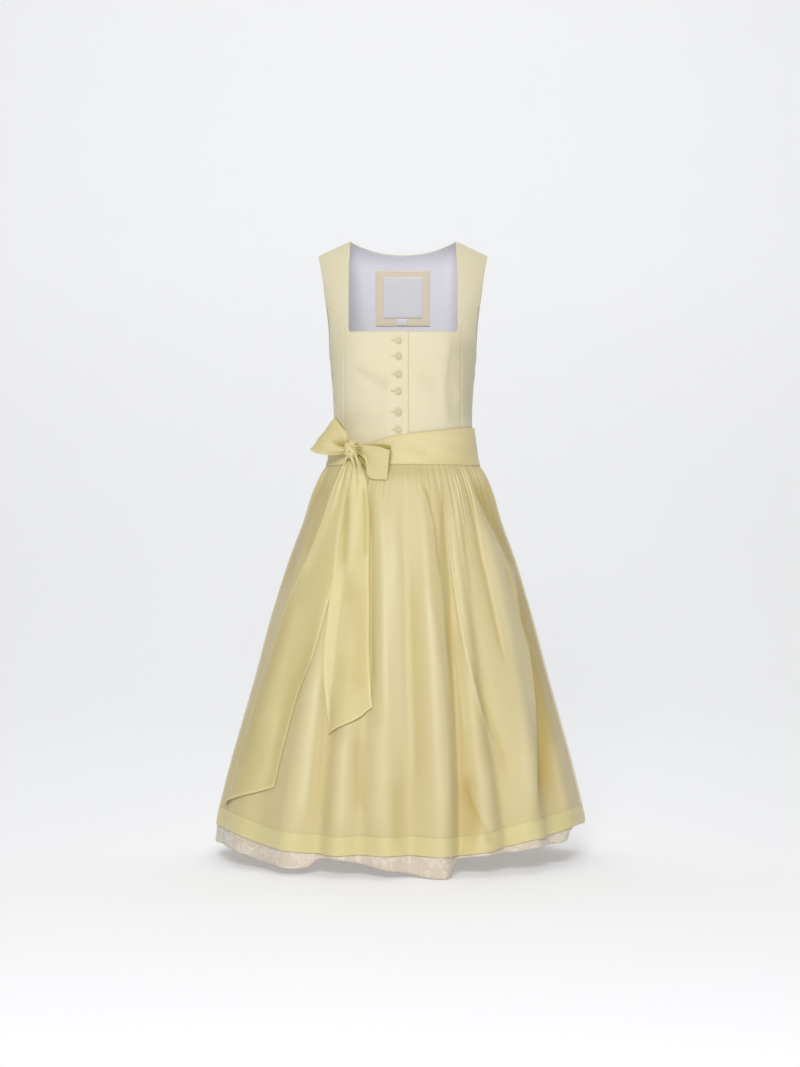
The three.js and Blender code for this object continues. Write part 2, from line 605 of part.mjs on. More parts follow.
const skirtLevels = [() => SKIRT_TOP, ...apronLevels, (angle) => hemOf(angle) + HEM_BAND, hemOf,
  (angle) => skirtHem(wrap(angle))];
const seamTurn = THREE.MathUtils.radToDeg(SEAM / 2 / section.half(SKIRT_TOP));

function skirtFront() {
  const angles = evenAngles(-SIDE_SEAM, SIDE_SEAM, FRONT_COLUMNS);
  angles[0] += seamTurn;
  angles[FRONT_COLUMNS] -= seamTurn;
  const levels = skirtLevels.filter((_, r) => r !== 4);
  return gatheredWall({
    angles,
    gathers: [],
    gatherFrom: Infinity,
    levels,
    innerRows: levels.map((_, r) => r),
    out: 0,
    wall: WALL.skirt,
  });
}

function skirtBack() {
  const from = SIDE_SEAM + seamTurn;
  const to = 360 - SIDE_SEAM - seamTurn;
  const clear = APRON_EDGE + 2;
  const gathers = gatherPlaces(clear, 360 - clear, BACK_GATHERS);
  return gatheredWall({
    angles: evenAngles(from, to, BACK_COLUMNS),
    gathers: [{ angle: from, crest: 0 }, ...gathers, { angle: to, crest: 0 }],
    gatherFrom: 1,
    levels: skirtLevels,
    innerRows: [0, 1, 3, 5, 6, 7, 8, 9, 10, 11, 12, 13, 14],
    out: 0,
    wall: WALL.skirt,
  });
}

// The sash band all round the waist
function sashBand() {
  const columns = 48;
  const rows = 4;
  const place = (r, c) => {
    const angle = wrap(360 * c / columns);
    const up = r / (rows - 1);
    return { angle, level: mix(BAND_BOTTOM, bandTop(angle), up), lift: SWELL * Math.sin(Math.PI * up) };
  };
  return bodyWall(rows, columns, place, BAND_GAP + WALL.sash, WALL.sash, { ring: true });
}

const knotSeat = () => bodyPoint(KNOT.angle, KNOT.level, BAND_GAP + WALL.sash + SWELL + SEAM + KNOT.deep);
const knotNormal = () => bodyPoint(KNOT.angle, KNOT.level, 1).sub(bodyPoint(KNOT.angle, KNOT.level)).setZ(0)
  .normalize();

// The knot: a flattened ball with creases that run over it from side to side
function sashKnot() {
  const ball = new THREE.SphereGeometry(1, 18, 10);
  ball.deleteAttribute('normal');
  ball.deleteAttribute('uv');
  const geometry = mergeVertices(ball);
  const position = geometry.getAttribute('position');
  const normal = knotNormal();
  const aside = new THREE.Vector3(normal.y, -normal.x, 0);
  for (let i = 0; i < position.count; i += 1) {
    const p = new THREE.Vector3().fromBufferAttribute(position, i);
    const crease = 1 - KNOT.crease * (0.5 + 0.5 * Math.cos(KNOT.creases * Math.atan2(p.z, p.x)));
    const spot = knotSeat()
      .addScaledVector(aside, p.x * KNOT.wide * crease)
      .addScaledVector(normal, p.y * KNOT.deep * crease);
    spot.z += p.z * KNOT.high * crease;
    position.setXYZ(i, spot.x, spot.y, spot.z);
  }
  return geometry;
}

// One loop of the bow: a ribbon from the knot out to its fold and back
function bowLoop({ turn, stations }) {
  const knot = knotSeat();
  const along = new THREE.Vector3(Math.cos(radians(turn)), Math.sin(radians(turn)), 0);
  const off = new THREE.Vector3(along.y, -along.x, 0);
  if (off.y > 0) off.negate();
  const spotAt = (row, reach, z, away) => knot.clone().addScaledVector(along, row[reach])
    .addScaledVector(off, row[away]).add(new THREE.Vector3(0, 0, row[z]));
  const edgeCurve = (...columns) => (
    new THREE.CatmullRomCurve3(stations.map((row) => spotAt(row, ...columns))));
  const upper = edgeCurve('upReach', 'upZ', 'upOff');
  const lower = edgeCurve('lowReach', 'lowZ', 'lowOff');
  const rows = 15;
  const columns = 7;
  const middle = (u, v) => {
    const point = lower.getPoint(u).lerp(upper.getPoint(u), v);
    const nearKnot = Math.cos(Math.PI * u) ** 2;
    const crease = Math.cos(LOOP_CREASES * 2 * Math.PI * v) * Math.sin(Math.PI * v);
    return point.addScaledVector(off, (0.4 + 0.9 * nearKnot) * crease);
  };
  const h = 0.004;
  const outerSide = along.x < 0 ? 1 : -1;
  return clothWall(rows, columns, (r, c) => {
    const u = THREE.MathUtils.clamp(r / (rows - 1), h, 1 - h);
    const v = (outerSide > 0 ? c : columns - 1 - c) / (columns - 1);
    const point = middle(u, v);
    const normal = middle(u, v + h).sub(middle(u, v - h))
      .cross(middle(u + h, v).sub(middle(u - h, v))).normalize().multiplyScalar(outerSide);
    return { outer: point, inner: point.clone().addScaledVector(normal, -WALL.loop) };
  });
}

// A tail of the sash, which hangs down over the apron
function sashTail(table, out) {
  const rows = 13;
  const columns = 6;
  const keyed = table.map((row, i) => ({ ...row, at: i / (table.length - 1) }));
  const [a, za, b, zb] = ['a', 'za', 'b', 'zb'].map((column) => tableCurve(keyed, 'at', column));
  return bodyWall(rows, columns, (r, c) => {
    const down = 1 - r / (rows - 1);
    const across = c / (columns - 1);
    return {
      angle: mix(a(down), b(down), across),
      level: mix(za(down), zb(down), across),
      lift: SWELL * Math.sin(Math.PI * across),
    };
  }, out + WALL.tail, WALL.tail);
}

function part(name, geometry, colour, roughness) {
  const material = new THREE.MeshStandardMaterial({ color: COLOUR[colour], roughness, metalness: 0 });
  const mesh = new THREE.Mesh(geometry, material);
  mesh.name = name;
  return mesh;
}

const dress = new THREE.Group();
dress.add(part('bodice_front_right', bodiceFrontRight(), 'bodice', 0.7));
dress.add(part('bodice_front_left', bodiceFrontLeft(), 'bodice', 0.7));
dress.add(part('bodice_side_front_right', sidePanel(-1, false), 'bodice', 0.7));
dress.add(part('bodice_side_front_left', sidePanel(1, false), 'bodice', 0.7));
dress.add(part('bodice_side_back_right', sidePanel(-1, true), 'bodice', 0.7));
dress.add(part('bodice_side_back_left', sidePanel(1, true), 'bodice', 0.7));
dress.add(part('bodice_back', bodiceBack(), 'bodice', 0.7));
const liningInside = -WALL.bodice - LINING_GAP - WALL.lining;
const patchInside = liningInside - LABEL_GAP - WALL.label;
dress.add(part('back_lining', backLining(), 'lining', 0.5));
dress.add(part('label_patch', backLabel(PATCH, liningInside - LABEL_GAP, WALL.label, 6, 7), 'patch', 0.6));
dress.add(part('neck_label', backLabel(NECK_LABEL, patchInside - LABEL_GAP, WALL.label, 5, 6), 'label', 0.5));
dress.add(part('size_label', backLabel(SIZE_LABEL, patchInside - LABEL_GAP, WALL.label, 3, 2), 'label', 0.5));
BUTTONS.forEach((button, index) => dress.add(buttonAt(button, index)));
dress.add(part('skirt_front', skirtFront(), 'skirt', 0.5));
dress.add(part('skirt_back', skirtBack(), 'skirt', 0.5));
dress.add(part('apron', apron(), 'apron', 0.4));
dress.add(part('sash_band', sashBand(), 'sash', 0.45));
dress.add(part('sash_knot', sashKnot(), 'sash', 0.45));
dress.add(part('bow_loop_left', bowLoop(LOOP_LEFT), 'sash', 0.45));
dress.add(part('bow_loop_right', bowLoop(LOOP_RIGHT), 'sash', 0.45));
dress.add(part('sash_tail_long', sashTail(LONG_TAIL, TAIL_OUT.long), 'sash', 0.45));
dress.add(part('sash_tail_short', sashTail(SHORT_TAIL, TAIL_OUT.short), 'sash', 0.45));

export default dress;
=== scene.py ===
import math

import bpy
import numpy as np
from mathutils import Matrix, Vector


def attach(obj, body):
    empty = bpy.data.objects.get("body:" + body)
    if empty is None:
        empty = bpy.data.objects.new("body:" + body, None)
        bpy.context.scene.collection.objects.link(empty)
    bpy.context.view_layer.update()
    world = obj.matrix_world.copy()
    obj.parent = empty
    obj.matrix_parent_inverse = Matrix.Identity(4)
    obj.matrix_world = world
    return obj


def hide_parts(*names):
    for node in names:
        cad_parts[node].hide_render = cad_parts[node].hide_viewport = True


# The looks of the dirndl dress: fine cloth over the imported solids. Sizes are in millimetres in the tables
# and grids below, and each mesh is made in metres. Angles run round the body in degrees, 0 at the centre
# front and 90 at the wearer's left.
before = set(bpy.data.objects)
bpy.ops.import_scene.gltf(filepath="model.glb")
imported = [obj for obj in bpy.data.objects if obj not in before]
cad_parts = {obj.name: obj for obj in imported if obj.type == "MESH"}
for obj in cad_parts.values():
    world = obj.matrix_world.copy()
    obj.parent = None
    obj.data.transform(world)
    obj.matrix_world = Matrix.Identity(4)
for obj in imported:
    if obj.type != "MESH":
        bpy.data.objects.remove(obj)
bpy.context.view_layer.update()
scene = bpy.context.scene
MM = 0.001
DEGREE = np.pi / 180
UP = np.array([0, 0, 1.0])

# The photograph's camera
CAMERA = {"x": -5.4, "y": -3600.0, "z": -526.5, "pixel": 1.8, "lens": 67.5, "sensor": 36.0}
PICTURE = (800, 1067)
FLOOR_Z = -1107.5

# The dress's measures, the same as its solids
NECKLINE, SEAM_TOP, UNDERARM, BODICE_HEM = -173.0, -122.0, -212.0, -368.0
BAND_BOTTOM, CLOTH_HEM = -407.0, -374.0
STRAP_INNER, STRAP_OUTER, SHOULDER_DROP, SLOPE_END, BACK_NECK_DROP = 94.0, 152.0, 27.0, -130.0, 18.0
CORNER_RADIUS = 7.0
SHOULDER = -0.0003
EDGE_X, UNDER_X, LIFT_FROM, LIFT_TO, OVERLAP = 9.0, -16.0, -48.0, -20.0, 2.6
APRON_EDGE, HEM_BAND, HEM_SHIFT = 96.0, 31.0, -5.0
BUTTON = {"radius": 6.0, "height": 2.6, "x": -8.0}
BUTTONS = [(-190, -0.05), (-217, -0.25), (-248, 0.45), (-277, 0.45), (-314, 0.85), (-345, 0.45)]
BUST = {"x": 82.0, "level": -195.0, "width": 46.0, "height": 44.0, "out": 8.0}

# How far out the cloth lies round the bodice, band, skirt and apron, for the scale of its weave
BODICE_ROUND, BAND_ROUND, SKIRT_ROUND, APRON_ROUND = 125.0, 128.0, 330.0, 360.0

# Cross-sections: level, half width, depth to the front and to the back, the exponent that squares the oval
SECTIONS = [
    (0, 165, 0, 0, 2.5), (-12, 162, 30, 45, 2.5), (-30, 160, 48, 66, 2.5), (-60, 157, 66, 80, 2.5),
    (-100, 152, 86, 92, 2.5), (-130, 147, 97, 97, 2.5), (-165, 140, 106, 100, 2.5),
    (-205, 133, 108, 100, 2.5), (-255, 127.5, 102, 96, 2.4), (-330, 124, 94, 88, 2.3),
    (-368, 127, 96, 89, 2.3), (-401, 133, 100, 93, 2.2), (-428, 147, 116, 106, 2.1),
    (-460, 161, 125, 115, 2.1), (-502, 174, 136, 126, 2.1),
    (-569, 199, 151, 141, 2), (-670, 230, 171, 162, 2), (-765, 256, 188, 180, 2), (-855, 281, 203, 196, 2),
    (-950, 307, 217, 212, 2), (-1050, 329, 230, 227, 2), (-1110, 336, 236, 233, 2),
]
FRONT_SEAM = [(-368, 105), (-250, 105), (-173, 104), (-158, 107), (-145, 114), (-133, 124), (-122, 137)]
BACK_SEAM = [(-368, 46), (-250, 58), (-190, 76), (-158, 94), (-145, 104), (-133, 117), (-122, 137)]
STRAP_EDGE = [(-122, 137), (-100, 139.5), (-68, 142.5), (-30, 147.5), (-12, 150.5), (0, STRAP_OUTER)]
BAND_EDGE = [
    (-180, -338), (-135, -341), (-90, -352), (-60, -366), (-39, -371), (-25, -366), (-11, -357), (8, -350.5),
    (33, -344.5), (60, -339), (90, -337.5), (180, -338),
]
APRON_HEM = [
    (-96, -1047), (-84, -1047), (-66, -1046), (-60, -1048), (-48, -1060), (-36, -1065), (-24, -1071),
    (-6, -1069), (12, -1070), (19, -1073), (24, -1067), (36, -1060), (42, -1050), (54, -1048),
    (66, -1040), (78, -1043), (90, -1046), (96, -1047),
]
SKIRT_HEM = [
    (-180, -1092), (-140, -1086), (-90, -1078), (-66, -1075), (-54, -1083), (-48, -1090), (-40, -1093),
    (-31, -1096), (-28.5, -1094), (-26.5, -1082), (-20, -1077), (-12, -1085), (0, -1097), (8, -1106),
    (13, -1106), (18, -1082), (24, -1073), (36, -1072), (42, -1065), (58, -1065), (61, -1062),
    (64, -1046), (70, -1040), (84, -1042), (96, -1044), (108, -1062), (120, -1076), (140, -1084),
    (180, -1092),
]
# The skirt's large folds: start level, angle there, angle at the hem, depth at the hem, half width
FOLDS = [
    (-470, -62, -60, 3, 7), (-470, -50, -49, -6, 5), (-480, -36, -35, 13, 5), (-520, -28, -26, -15, 4),
    (-520, -21, -19, 7, 3.5), (-520, -14, -12, -9, 3.5), (-430, -8, -4, 9, 4), (-430, 0.5, 3, -9, 3.5),
    (-420, 12, 12, 19, 4.5), (-420, 26, 18.5, -22, 3.5), (-480, 30, 25, 9, 4), (-500, 31, 35, -15, 4),
    (-440, 50, 43, 14, 6), (-520, 63, 53, -9, 6), (-560, 70, 64, 4, 6), (-500, 80, 77, -4, 6),
    (-440, 103, 101, 11, 7), (-430, 118, 117, -15, 6), (-430, 132, 131, 13, 6), (-440, 146, 147, -16, 6),
    (-420, 160, 161, 13, 6), (-450, 175, 174, -14, 6), (-430, 191, 190, 15, 7), (-430, 205, 206, -15, 6),
    (-440, 219, 220, 12, 6), (-430, 233, 232, -14, 6), (-440, 250, 250, 10, 7), (-470, 283, 284, -8, 6),
]
FOLD_END, FOLD_GROWTH, FOLD_LIMIT = -1070.0, 0.75, 1.05
# How far the fine gathers stand out at each level
GATHER_RISE = [(-402, 0.4), (-408, 0.9), (-414, 1.9), (-424, 2.4), (-440, 2.1), (-466, 1.35), (-500, 0.75),
               (-540, 0.35), (-600, 0)]
# The sash tails: the angle and height of each row's outer and inner end
LONG_TAIL = [
    (-45, -397.5, -39.6, -397.5), (-47, -415, -38, -415), (-48, -443, -35.5, -443), (-50, -487, -33, -487),
    (-56, -574, -32, -574), (-62.5, -650, -34, -650), (-65, -738, -36, -735), (-71, -827, -41, -812),
    (-75, -925, -43, -890), (-79, -1011, -44, -964),
]
SHORT_TAIL = [
    (-39, -397.5, -33, -397.5), (-38.6, -415, -29.5, -415), (-38, -443, -23, -443), (-37, -520, -18.4, -520),
    (-34.5, -600, -16, -600), (-33.4, -660, -14.5, -655), (-32.5, -735, -13.4, -715),
    (-29.5, -815, -11.5, -780), (-26, -872, -9.7, -823),
]
# The band's outer face with the seam's gap, and the knot on it
BAND_OUT = 5.9
KNOT = {"angle": -38.5, "level": -380.0, "wide": 13.0, "deep": 10.0, "high": 17.0}
# The bow's loops: the way that each points, in degrees, then rows of reach from the knot, height over it and
# distance in front of it, for the ribbon's upper edge and for its lower edge
LOOP_LEFT = (155, [
    (6, 14, 1, 12.7, -6, 1), (6, 27, 5, 34, -10, 5), (17, 42, 7, 60, -7, 8), (30, 56, 4, 79, 0, 4),
    (29, 54, -3, 76, 0, -4), (15, 38, -1, 50, -6, -3), (8, 13, -3, 12.7, -5, -3)])
LOOP_RIGHT = (-17, [
    (12.4, 7, 3, 13.5, -5, 3), (32, 6.5, 6, 28, -20, 9), (54, 4, 8, 36, -50, 12), (71.5, -2, 6, 67, -54, 10),
    (71, 5.5, 0, 65, -52, 6), (48, 7.5, 0, 36, -44, 7), (12.4, 6, -2, 12.7, -4, -2)])
# Creases of the loops, from the knot out: place across from the lower edge at 0, half widths towards the
# lower and upper edge, depth, and how far out it runs
LEFT_LOOP_FOLDS = [
    (0.24, 0.14, 0.12, 4.0, 0.85), (0.48, 0.06, 0.14, -4.4, 0.65), (0.66, 0.1, 0.08, -1.4, 0.5),
    (0.84, 0.06, 0.06, 2.4, 0.5), (0.95, 0.05, 0.05, -1.2, 0.4), (0.04, 0.05, 0.06, -2.6, 0.5),
]
RIGHT_LOOP_FOLDS = [
    (0.12, 0.08, 0.08, 2.0, 0.5), (0.24, 0.05, 0.05, -2.6, 0.35), (0.36, 0.07, 0.06, 2.0, 0.4),
    (0.48, 0.04, 0.05, -2.0, 0.3), (0.6, 0.07, 0.05, 1.6, 0.35), (0.7, 0.04, 0.04, -2.0, 0.28),
    (0.82, 0.06, 0.06, 1.8, 0.45), (0.93, 0.04, 0.04, -1.2, 0.3), (0.4, 0.12, 0.2, -1.0, 0.95),
]
# The label patch, the neck label and the size label: left, right, top and bottom
PATCH = (-51, 50, -43, -144)
NECK_LABEL = (-36, 36, -54, -129)
SIZE_LABEL = (-12, 8, -130, -142)
# How far inside the back's outer face the lining, the patch and the labels lie
LINING_OUT, PATCH_OUT, LABEL_OUT = -2.7, -3.5, -5.2


# The form that all the cloth follows

def root(level):
    return np.sqrt(np.maximum(0, -np.asarray(level, float)))


def curve(rows, column=1, stretch=lambda value: np.asarray(value, float)):
    """A smooth curve through a table's rows that never overshoots them."""
    keys = stretch([row[0] for row in rows])
    order = np.argsort(keys)
    keys = keys[order]
    values = np.array([row[column] for row in rows], float)[order]
    rise = np.diff(values) / np.diff(keys)
    slope = np.concatenate([rise[:1], np.zeros(len(rise) - 1), rise[-1:]])
    before, after = rise[:-1], rise[1:]
    even = before * after > 0
    slope[1:-1][even] = 2 / (1 / before[even] + 1 / after[even])

    def at(query):
        q = np.clip(stretch(query), keys[0], keys[-1])
        i = np.clip(np.searchsorted(keys, q) - 1, 0, len(keys) - 2)
        span = keys[i + 1] - keys[i]
        t = (q - keys[i]) / span
        u = 1 - t
        return ((1 + 2 * t) * u * u * values[i] + t * u * u * span * slope[i]
                + t * t * (3 - 2 * t) * values[i + 1] - t * t * u * span * slope[i + 1])
    return at


half_at, front_at, back_at, square_at = (curve(SECTIONS, column, root) for column in (1, 2, 3, 4))
front_seam_x = curve(FRONT_SEAM)
back_seam_x = curve(BACK_SEAM)
strap_edge_x = curve(STRAP_EDGE, 1, lambda value: -root(value))
band_top = curve(BAND_EDGE)
apron_hem = curve(APRON_HEM)
skirt_hem = curve(SKIRT_HEM)
gather_rise = curve(GATHER_RISE)


def mix(a, b, share):
    return a + (b - a) * share


def smooth(value, low, high):
    t = np.clip((value - low) / (high - low), 0, 1)
    return t * t * (3 - 2 * t)


def bell(away):
    """1 at 0, and nothing much past 2 either way."""
    return np.exp(-away * away)


def unit(vector):
    return vector / np.maximum(1e-6, np.linalg.norm(vector, axis=-1, keepdims=True))


def wrap(angle):
    return (np.asarray(angle, float) + 180) % 360 - 180


def fold_depth(angle, level):
    depth = np.zeros(np.broadcast(angle, level).shape)
    for start, top, hem, out, width in FOLDS:
        share = np.maximum(0, (start - level) / (start - FOLD_END))
        centre = mix(top, hem, np.minimum(1, share))
        across = wrap(angle - centre) / width
        depth += out * np.minimum(FOLD_LIMIT, share) ** FOLD_GROWTH * bell(across)
    return depth


def base_point(angle, level):
    a = np.radians(angle)
    square = square_at(level)
    norm = (np.abs(np.sin(a)) ** square + np.abs(np.cos(a)) ** square) ** (1 / square)
    across, along = np.sin(a) / norm, -np.cos(a) / norm
    x = half_at(level) * across
    y = np.where(along < 0, front_at(level), back_at(level)) * along
    slope = np.maximum(0, 1 - level / SLOPE_END) * SHOULDER_DROP / (STRAP_OUTER - STRAP_INNER)
    z = level - slope * np.maximum(0, np.abs(x) - STRAP_INNER)
    is_bodice = level > BODICE_HEM
    bust = (np.maximum(0, -along) * BUST["out"] * bell((np.abs(x) - BUST["x"]) / BUST["width"])
            * bell((level - BUST["level"]) / BUST["height"]))
    fold = fold_depth(angle, level) / np.hypot(across, along)
    y = y - np.where(is_bodice, bust, 0) + np.where(is_bodice, 0, along * fold)
    x = x + np.where(is_bodice, 0, across * fold) + HEM_SHIFT * smooth(-level, -BAND_BOTTOM, 1110)
    return np.stack([x, y, z], -1)


def body_point(angle, level, out=0.0):
    """The form's point at an angle and height, moved out from its surface."""
    angle, level, out = np.broadcast_arrays(np.asarray(angle, float), np.asarray(level, float), out)
    run = np.maximum(root(level), 0.02)
    turn = base_point(angle + 0.3, level) - base_point(angle - 0.3, level)
    down = base_point(angle, -(run + 0.01) ** 2) - base_point(angle, -(run - 0.01) ** 2)
    return base_point(angle, level) + unit(np.cross(down, turn)) * out[..., None]


def angle_at(x, level, on_back=False):
    """The angle of a point x millimetres from the centre."""
    square = square_at(level)
    share = np.minimum(1, np.abs(x) / half_at(level))
    angle = np.degrees(np.arctan2(share, (1 - share ** square) ** (1 / square)))
    return np.where(x < 0, -1, 1) * (180 - angle if on_back else angle)


def angle_behind(x, level):
    """The same on the back, counted on past 180."""
    return angle_at(x, level, True) % 360


def seen_at(points):
    """Where points of the form lie in the photograph, in its pixels."""
    depth = (points[..., 1] - CAMERA["y"]) / -CAMERA["y"] * CAMERA["pixel"]
    return (PICTURE[0] / 2 + (points[..., 0] - CAMERA["x"]) / depth,
            PICTURE[1] / 2 - (points[..., 2] - CAMERA["z"]) / depth)


def along_line(x, y, line):
    """Each place's distance to a line through two or more points, its share of the way along the line, and
    whether it is on the line's right."""
    line = np.asarray(line, float)
    lengths = np.hypot(*np.diff(line, axis=0).T)
    best = np.full(np.shape(x), 1e9)
    share = np.zeros(np.shape(x))
    right = np.zeros(np.shape(x), bool)
    gone = 0.0
    for (ax, ay), (bx, by), length in zip(line[:-1], line[1:], lengths):
        t = np.clip(((x - ax) * (bx - ax) + (y - ay) * (by - ay)) / length ** 2, 0, 1)
        away = np.hypot(x - ax - t * (bx - ax), y - ay - t * (by - ay))
        nearer = away < best
        best = np.where(nearer, away, best)
        share = np.where(nearer, (gone + t * length) / lengths.sum(), share)
        right = np.where(nearer, (bx - ax) * (y - ay) < (by - ay) * (x - ax), right)
        gone += length
    return best, share, right


def creases(angle, level, rows):
    """Ridges (positive) and troughs (negative), each along a line in the photograph, with its half width or
    the half widths left and right of it, and its depth."""
    x, y = seen_at(base_point(angle, level))
    depth = np.zeros(np.shape(x))
    for line, *widths, out in rows:
        away, share, right = along_line(x, y, line)
        width = np.where(right, widths[-1], widths[0])
        ends = np.minimum(1, 6 * np.minimum(share + 0.02, 1.02 - share))
        depth += out * ends * bell(away / width)
    return depth


# Meshes and materials

def grid_mesh(name, points, uv, keep=None, ring=False, tone=None):
    """Rows and columns of points in millimetres as a smooth mesh, with uv in metres of cloth."""
    rows, columns = points.shape[:2]
    index = np.arange(rows * columns).reshape(rows, columns)
    right = np.roll(index, -1, 1) if ring else index[:, 1:]
    left = index if ring else index[:, :-1]
    quads = np.stack([left[:-1], right[:-1], right[1:], left[1:]], -1)
    if keep is not None:
        quads = quads[keep]
    quads = quads.reshape(-1, 4)
    used, packed = np.unique(quads, return_inverse=True)
    faces = packed.reshape(-1, 4)
    mesh = bpy.data.meshes.new(name)
    mesh.from_pydata((points.reshape(-1, 3)[used] * MM).tolist(), [], faces.tolist())
    layer = mesh.uv_layers.new(name="UVMap")
    uvs = uv.reshape(-1, 2)[quads].reshape(-1, 2)
    if ring:
        span = uv[0, -1, 0] + (uv[0, -1, 0] - uv[0, -2, 0])
        first = quads % columns == 0
        closing = first & (np.array([0, 1, 1, 0], bool) & (quads[:, :1] % columns == columns - 1))
        uvs[closing.reshape(-1), 0] = span
    layer.data.foreach_set("uv", uvs.astype(np.float32).reshape(-1))
    # The tone attribute holds painted shade, from 0 in shaded troughs to 1 where light falls.
    if tone is not None:
        shade = mesh.attributes.new("tone", "FLOAT", "POINT")
        shade.data.foreach_set("value", tone.reshape(-1)[used].astype(np.float32))
    mesh.polygons.foreach_set("use_smooth", np.ones(len(mesh.polygons), bool))
    mesh.update()
    return mesh


def add_object(name, data):
    made = bpy.data.objects.new(name, data)
    scene.collection.objects.link(made)
    return made


def add_piece(name, mesh, material, nodes=(), thickness=0.0):
    """Puts a mesh in the scene as a piece that rides on the frame."""
    piece = add_object(name, mesh)
    mesh.materials.append(material)
    if thickness:
        wall = piece.modifiers.new("wall", "SOLIDIFY")
        wall.thickness = thickness * MM
        wall.offset = -1
        wall.use_quality_normals = True
    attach(piece, "root")
    if nodes:
        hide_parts(*nodes)
    return piece


def add_cloth(node, weave, grid, material, thickness=0.0, keep=None, ring=False):
    """A grid of points, uv and perhaps a tone of painted shade as the sheet that takes a node's place."""
    points, uv, *tone = grid
    mesh = grid_mesh(node, points, uv, keep, ring, *tone)
    piece = add_piece(f"{node}_{weave}", mesh, material, [node], thickness)


def cloth_uv(across, down):
    across, down = np.broadcast_arrays(across, down)
    return np.stack([across, down], -1) * MM


def colour(red, green, blue):
    """A colour from its 0 to 255 display values."""
    values = [v / 255 for v in (red, green, blue)]
    return [v / 12.92 if v <= 0.04045 else ((v + 0.055) / 1.055) ** 2.4 for v in values] + [1.0]


class Shader:
    """Builds a material's nodes."""

    def __init__(self, name, **uniform):
        self.material = bpy.data.materials.new(name)
        self.material.use_nodes = True
        self.tree = self.material.node_tree
        self.surface = next(n for n in self.tree.nodes if n.type == "BSDF_PRINCIPLED")
        for key, value in uniform.items():
            self.surface.inputs[key.replace("_", " ")].default_value = value

    def node(self, kind, *inputs, **settings):
        made = self.tree.nodes.new("ShaderNode" + kind)
        for key, value in settings.items():
            setattr(made, key, value)
        for i, value in enumerate(inputs):
            if isinstance(value, bpy.types.NodeSocket):
                self.tree.links.new(value, made.inputs[i])
            elif value is not None:
                made.inputs[i].default_value = value
        return made

    def maths(self, operation, *inputs):
        return self.node("Math", *inputs, operation=operation).outputs[0]

    def vector(self, operation, *inputs):
        made = self.node("VectorMath", *inputs, operation=operation)
        return made.outputs["Value" if operation == "LENGTH" else "Vector"]

    def cloth_place(self, *scale):
        place = self.node("UVMap", uv_map="UVMap").outputs[0]
        return self.vector("MULTIPLY", place, scale) if scale else place

    def noise(self, place, scale, detail=2.0):
        return self.node("TexNoise", place, None, scale, detail).outputs["Fac"]

    def between(self, share, low, high):
        """A colour between two, by a share. Each is a socket or three display values."""
        made = self.node("Mix", data_type="RGBA")
        for socket, value in ((made.inputs["Factor"], share), (made.inputs[6], low), (made.inputs[7], high)):
            if isinstance(value, bpy.types.NodeSocket):
                self.tree.links.new(value, socket)
            else:
                socket.default_value = colour(*value)
        return made.outputs[2]

    def span(self, value, from_low, from_high, to_low=0.0, to_high=1.0):
        return self.node("MapRange", value, from_low, from_high, to_low, to_high).outputs[0]

    def plain_weave(self, pitch):
        """The height of a plain weave's threads, and their uneven thickness both ways."""
        place = self.cloth_place()
        split = self.node("SeparateXYZ", place)
        turns = 2 * math.pi / (pitch * MM)
        warp = self.maths("SINE", self.maths("MULTIPLY", split.outputs[0], turns))
        weft = self.maths("SINE", self.maths("MULTIPLY", split.outputs[1], turns))
        slub = self.noise(self.cloth_place(35, 1500, 1), 1.0)
        rib = self.noise(self.cloth_place(1500, 45, 1), 1.0)
        threads = self.maths("MULTIPLY", warp, weft)
        uneven = self.maths("ADD", slub, rib)
        return self.maths("MULTIPLY_ADD", threads, 0.5, uneven), slub, rib

    def bump(self, height, distance, normal=None):
        made = self.node("Bump", 1.0, distance * MM)
        self.tree.links.new(height, made.inputs["Height"])
        if normal is not None:
            self.tree.links.new(normal, made.inputs["Normal"])
        return made.outputs[0]

    def give(self, **sockets):
        for key, value in sockets.items():
            self.tree.links.new(value, self.surface.inputs[key.replace("_", " ")])
        return self.material


def woven(name, light, deep, pitch=0.9, slub=0.35, relief=0.12, rough=(0.5, 0.68), **uniform):
    """Cloth of one colour with a plain weave, slubs and a faint unevenness of the dye."""
    shader = Shader(name, **uniform)
    height, across, down = shader.plain_weave(pitch)
    uneven = shader.span(shader.maths("ADD", across, down), 0.7, 1.3)
    mottle = shader.span(shader.noise(shader.cloth_place(), 9.0), 0.35, 0.65)
    share = shader.maths("ADD", shader.maths("MULTIPLY", uneven, slub), shader.maths("MULTIPLY", mottle, 0.2))
    tint = shader.between(share, light, deep)
    roughness = shader.span(across, 0.3, 0.7, *rough)
    return shader.give(Base_Color=tint, Roughness=roughness, Normal=shader.bump(height, relief))


def silk(name, light, deep, painted_shade_pale, painted_shade_dark, alpha=1.0, relief=0.1, rough=(0.36, 0.5), **uniform):
    """Silk with slubs along the weft. The mesh's tone paints shade into its colour: towards the darker trough
    colours in troughs and creases, towards the ridge colours where light falls.
    """
    shader = Shader(name, Alpha=alpha, **uniform)
    height, across, down = shader.plain_weave(0.7)
    uneven = shader.span(shader.maths("ADD", across, down), 0.75, 1.25)
    ridge = shader.between(uneven, light, deep)
    painted_trough_shade = shader.between(uneven, painted_shade_pale, painted_shade_dark)
    tone = shader.node("Attribute", attribute_name="tone").outputs["Fac"]
    tint = shader.between(tone, painted_trough_shade, ridge)
    roughness = shader.span(across, 0.3, 0.7, *rough)
    return shader.give(Base_Color=tint, Roughness=roughness, Normal=shader.bump(height, relief))


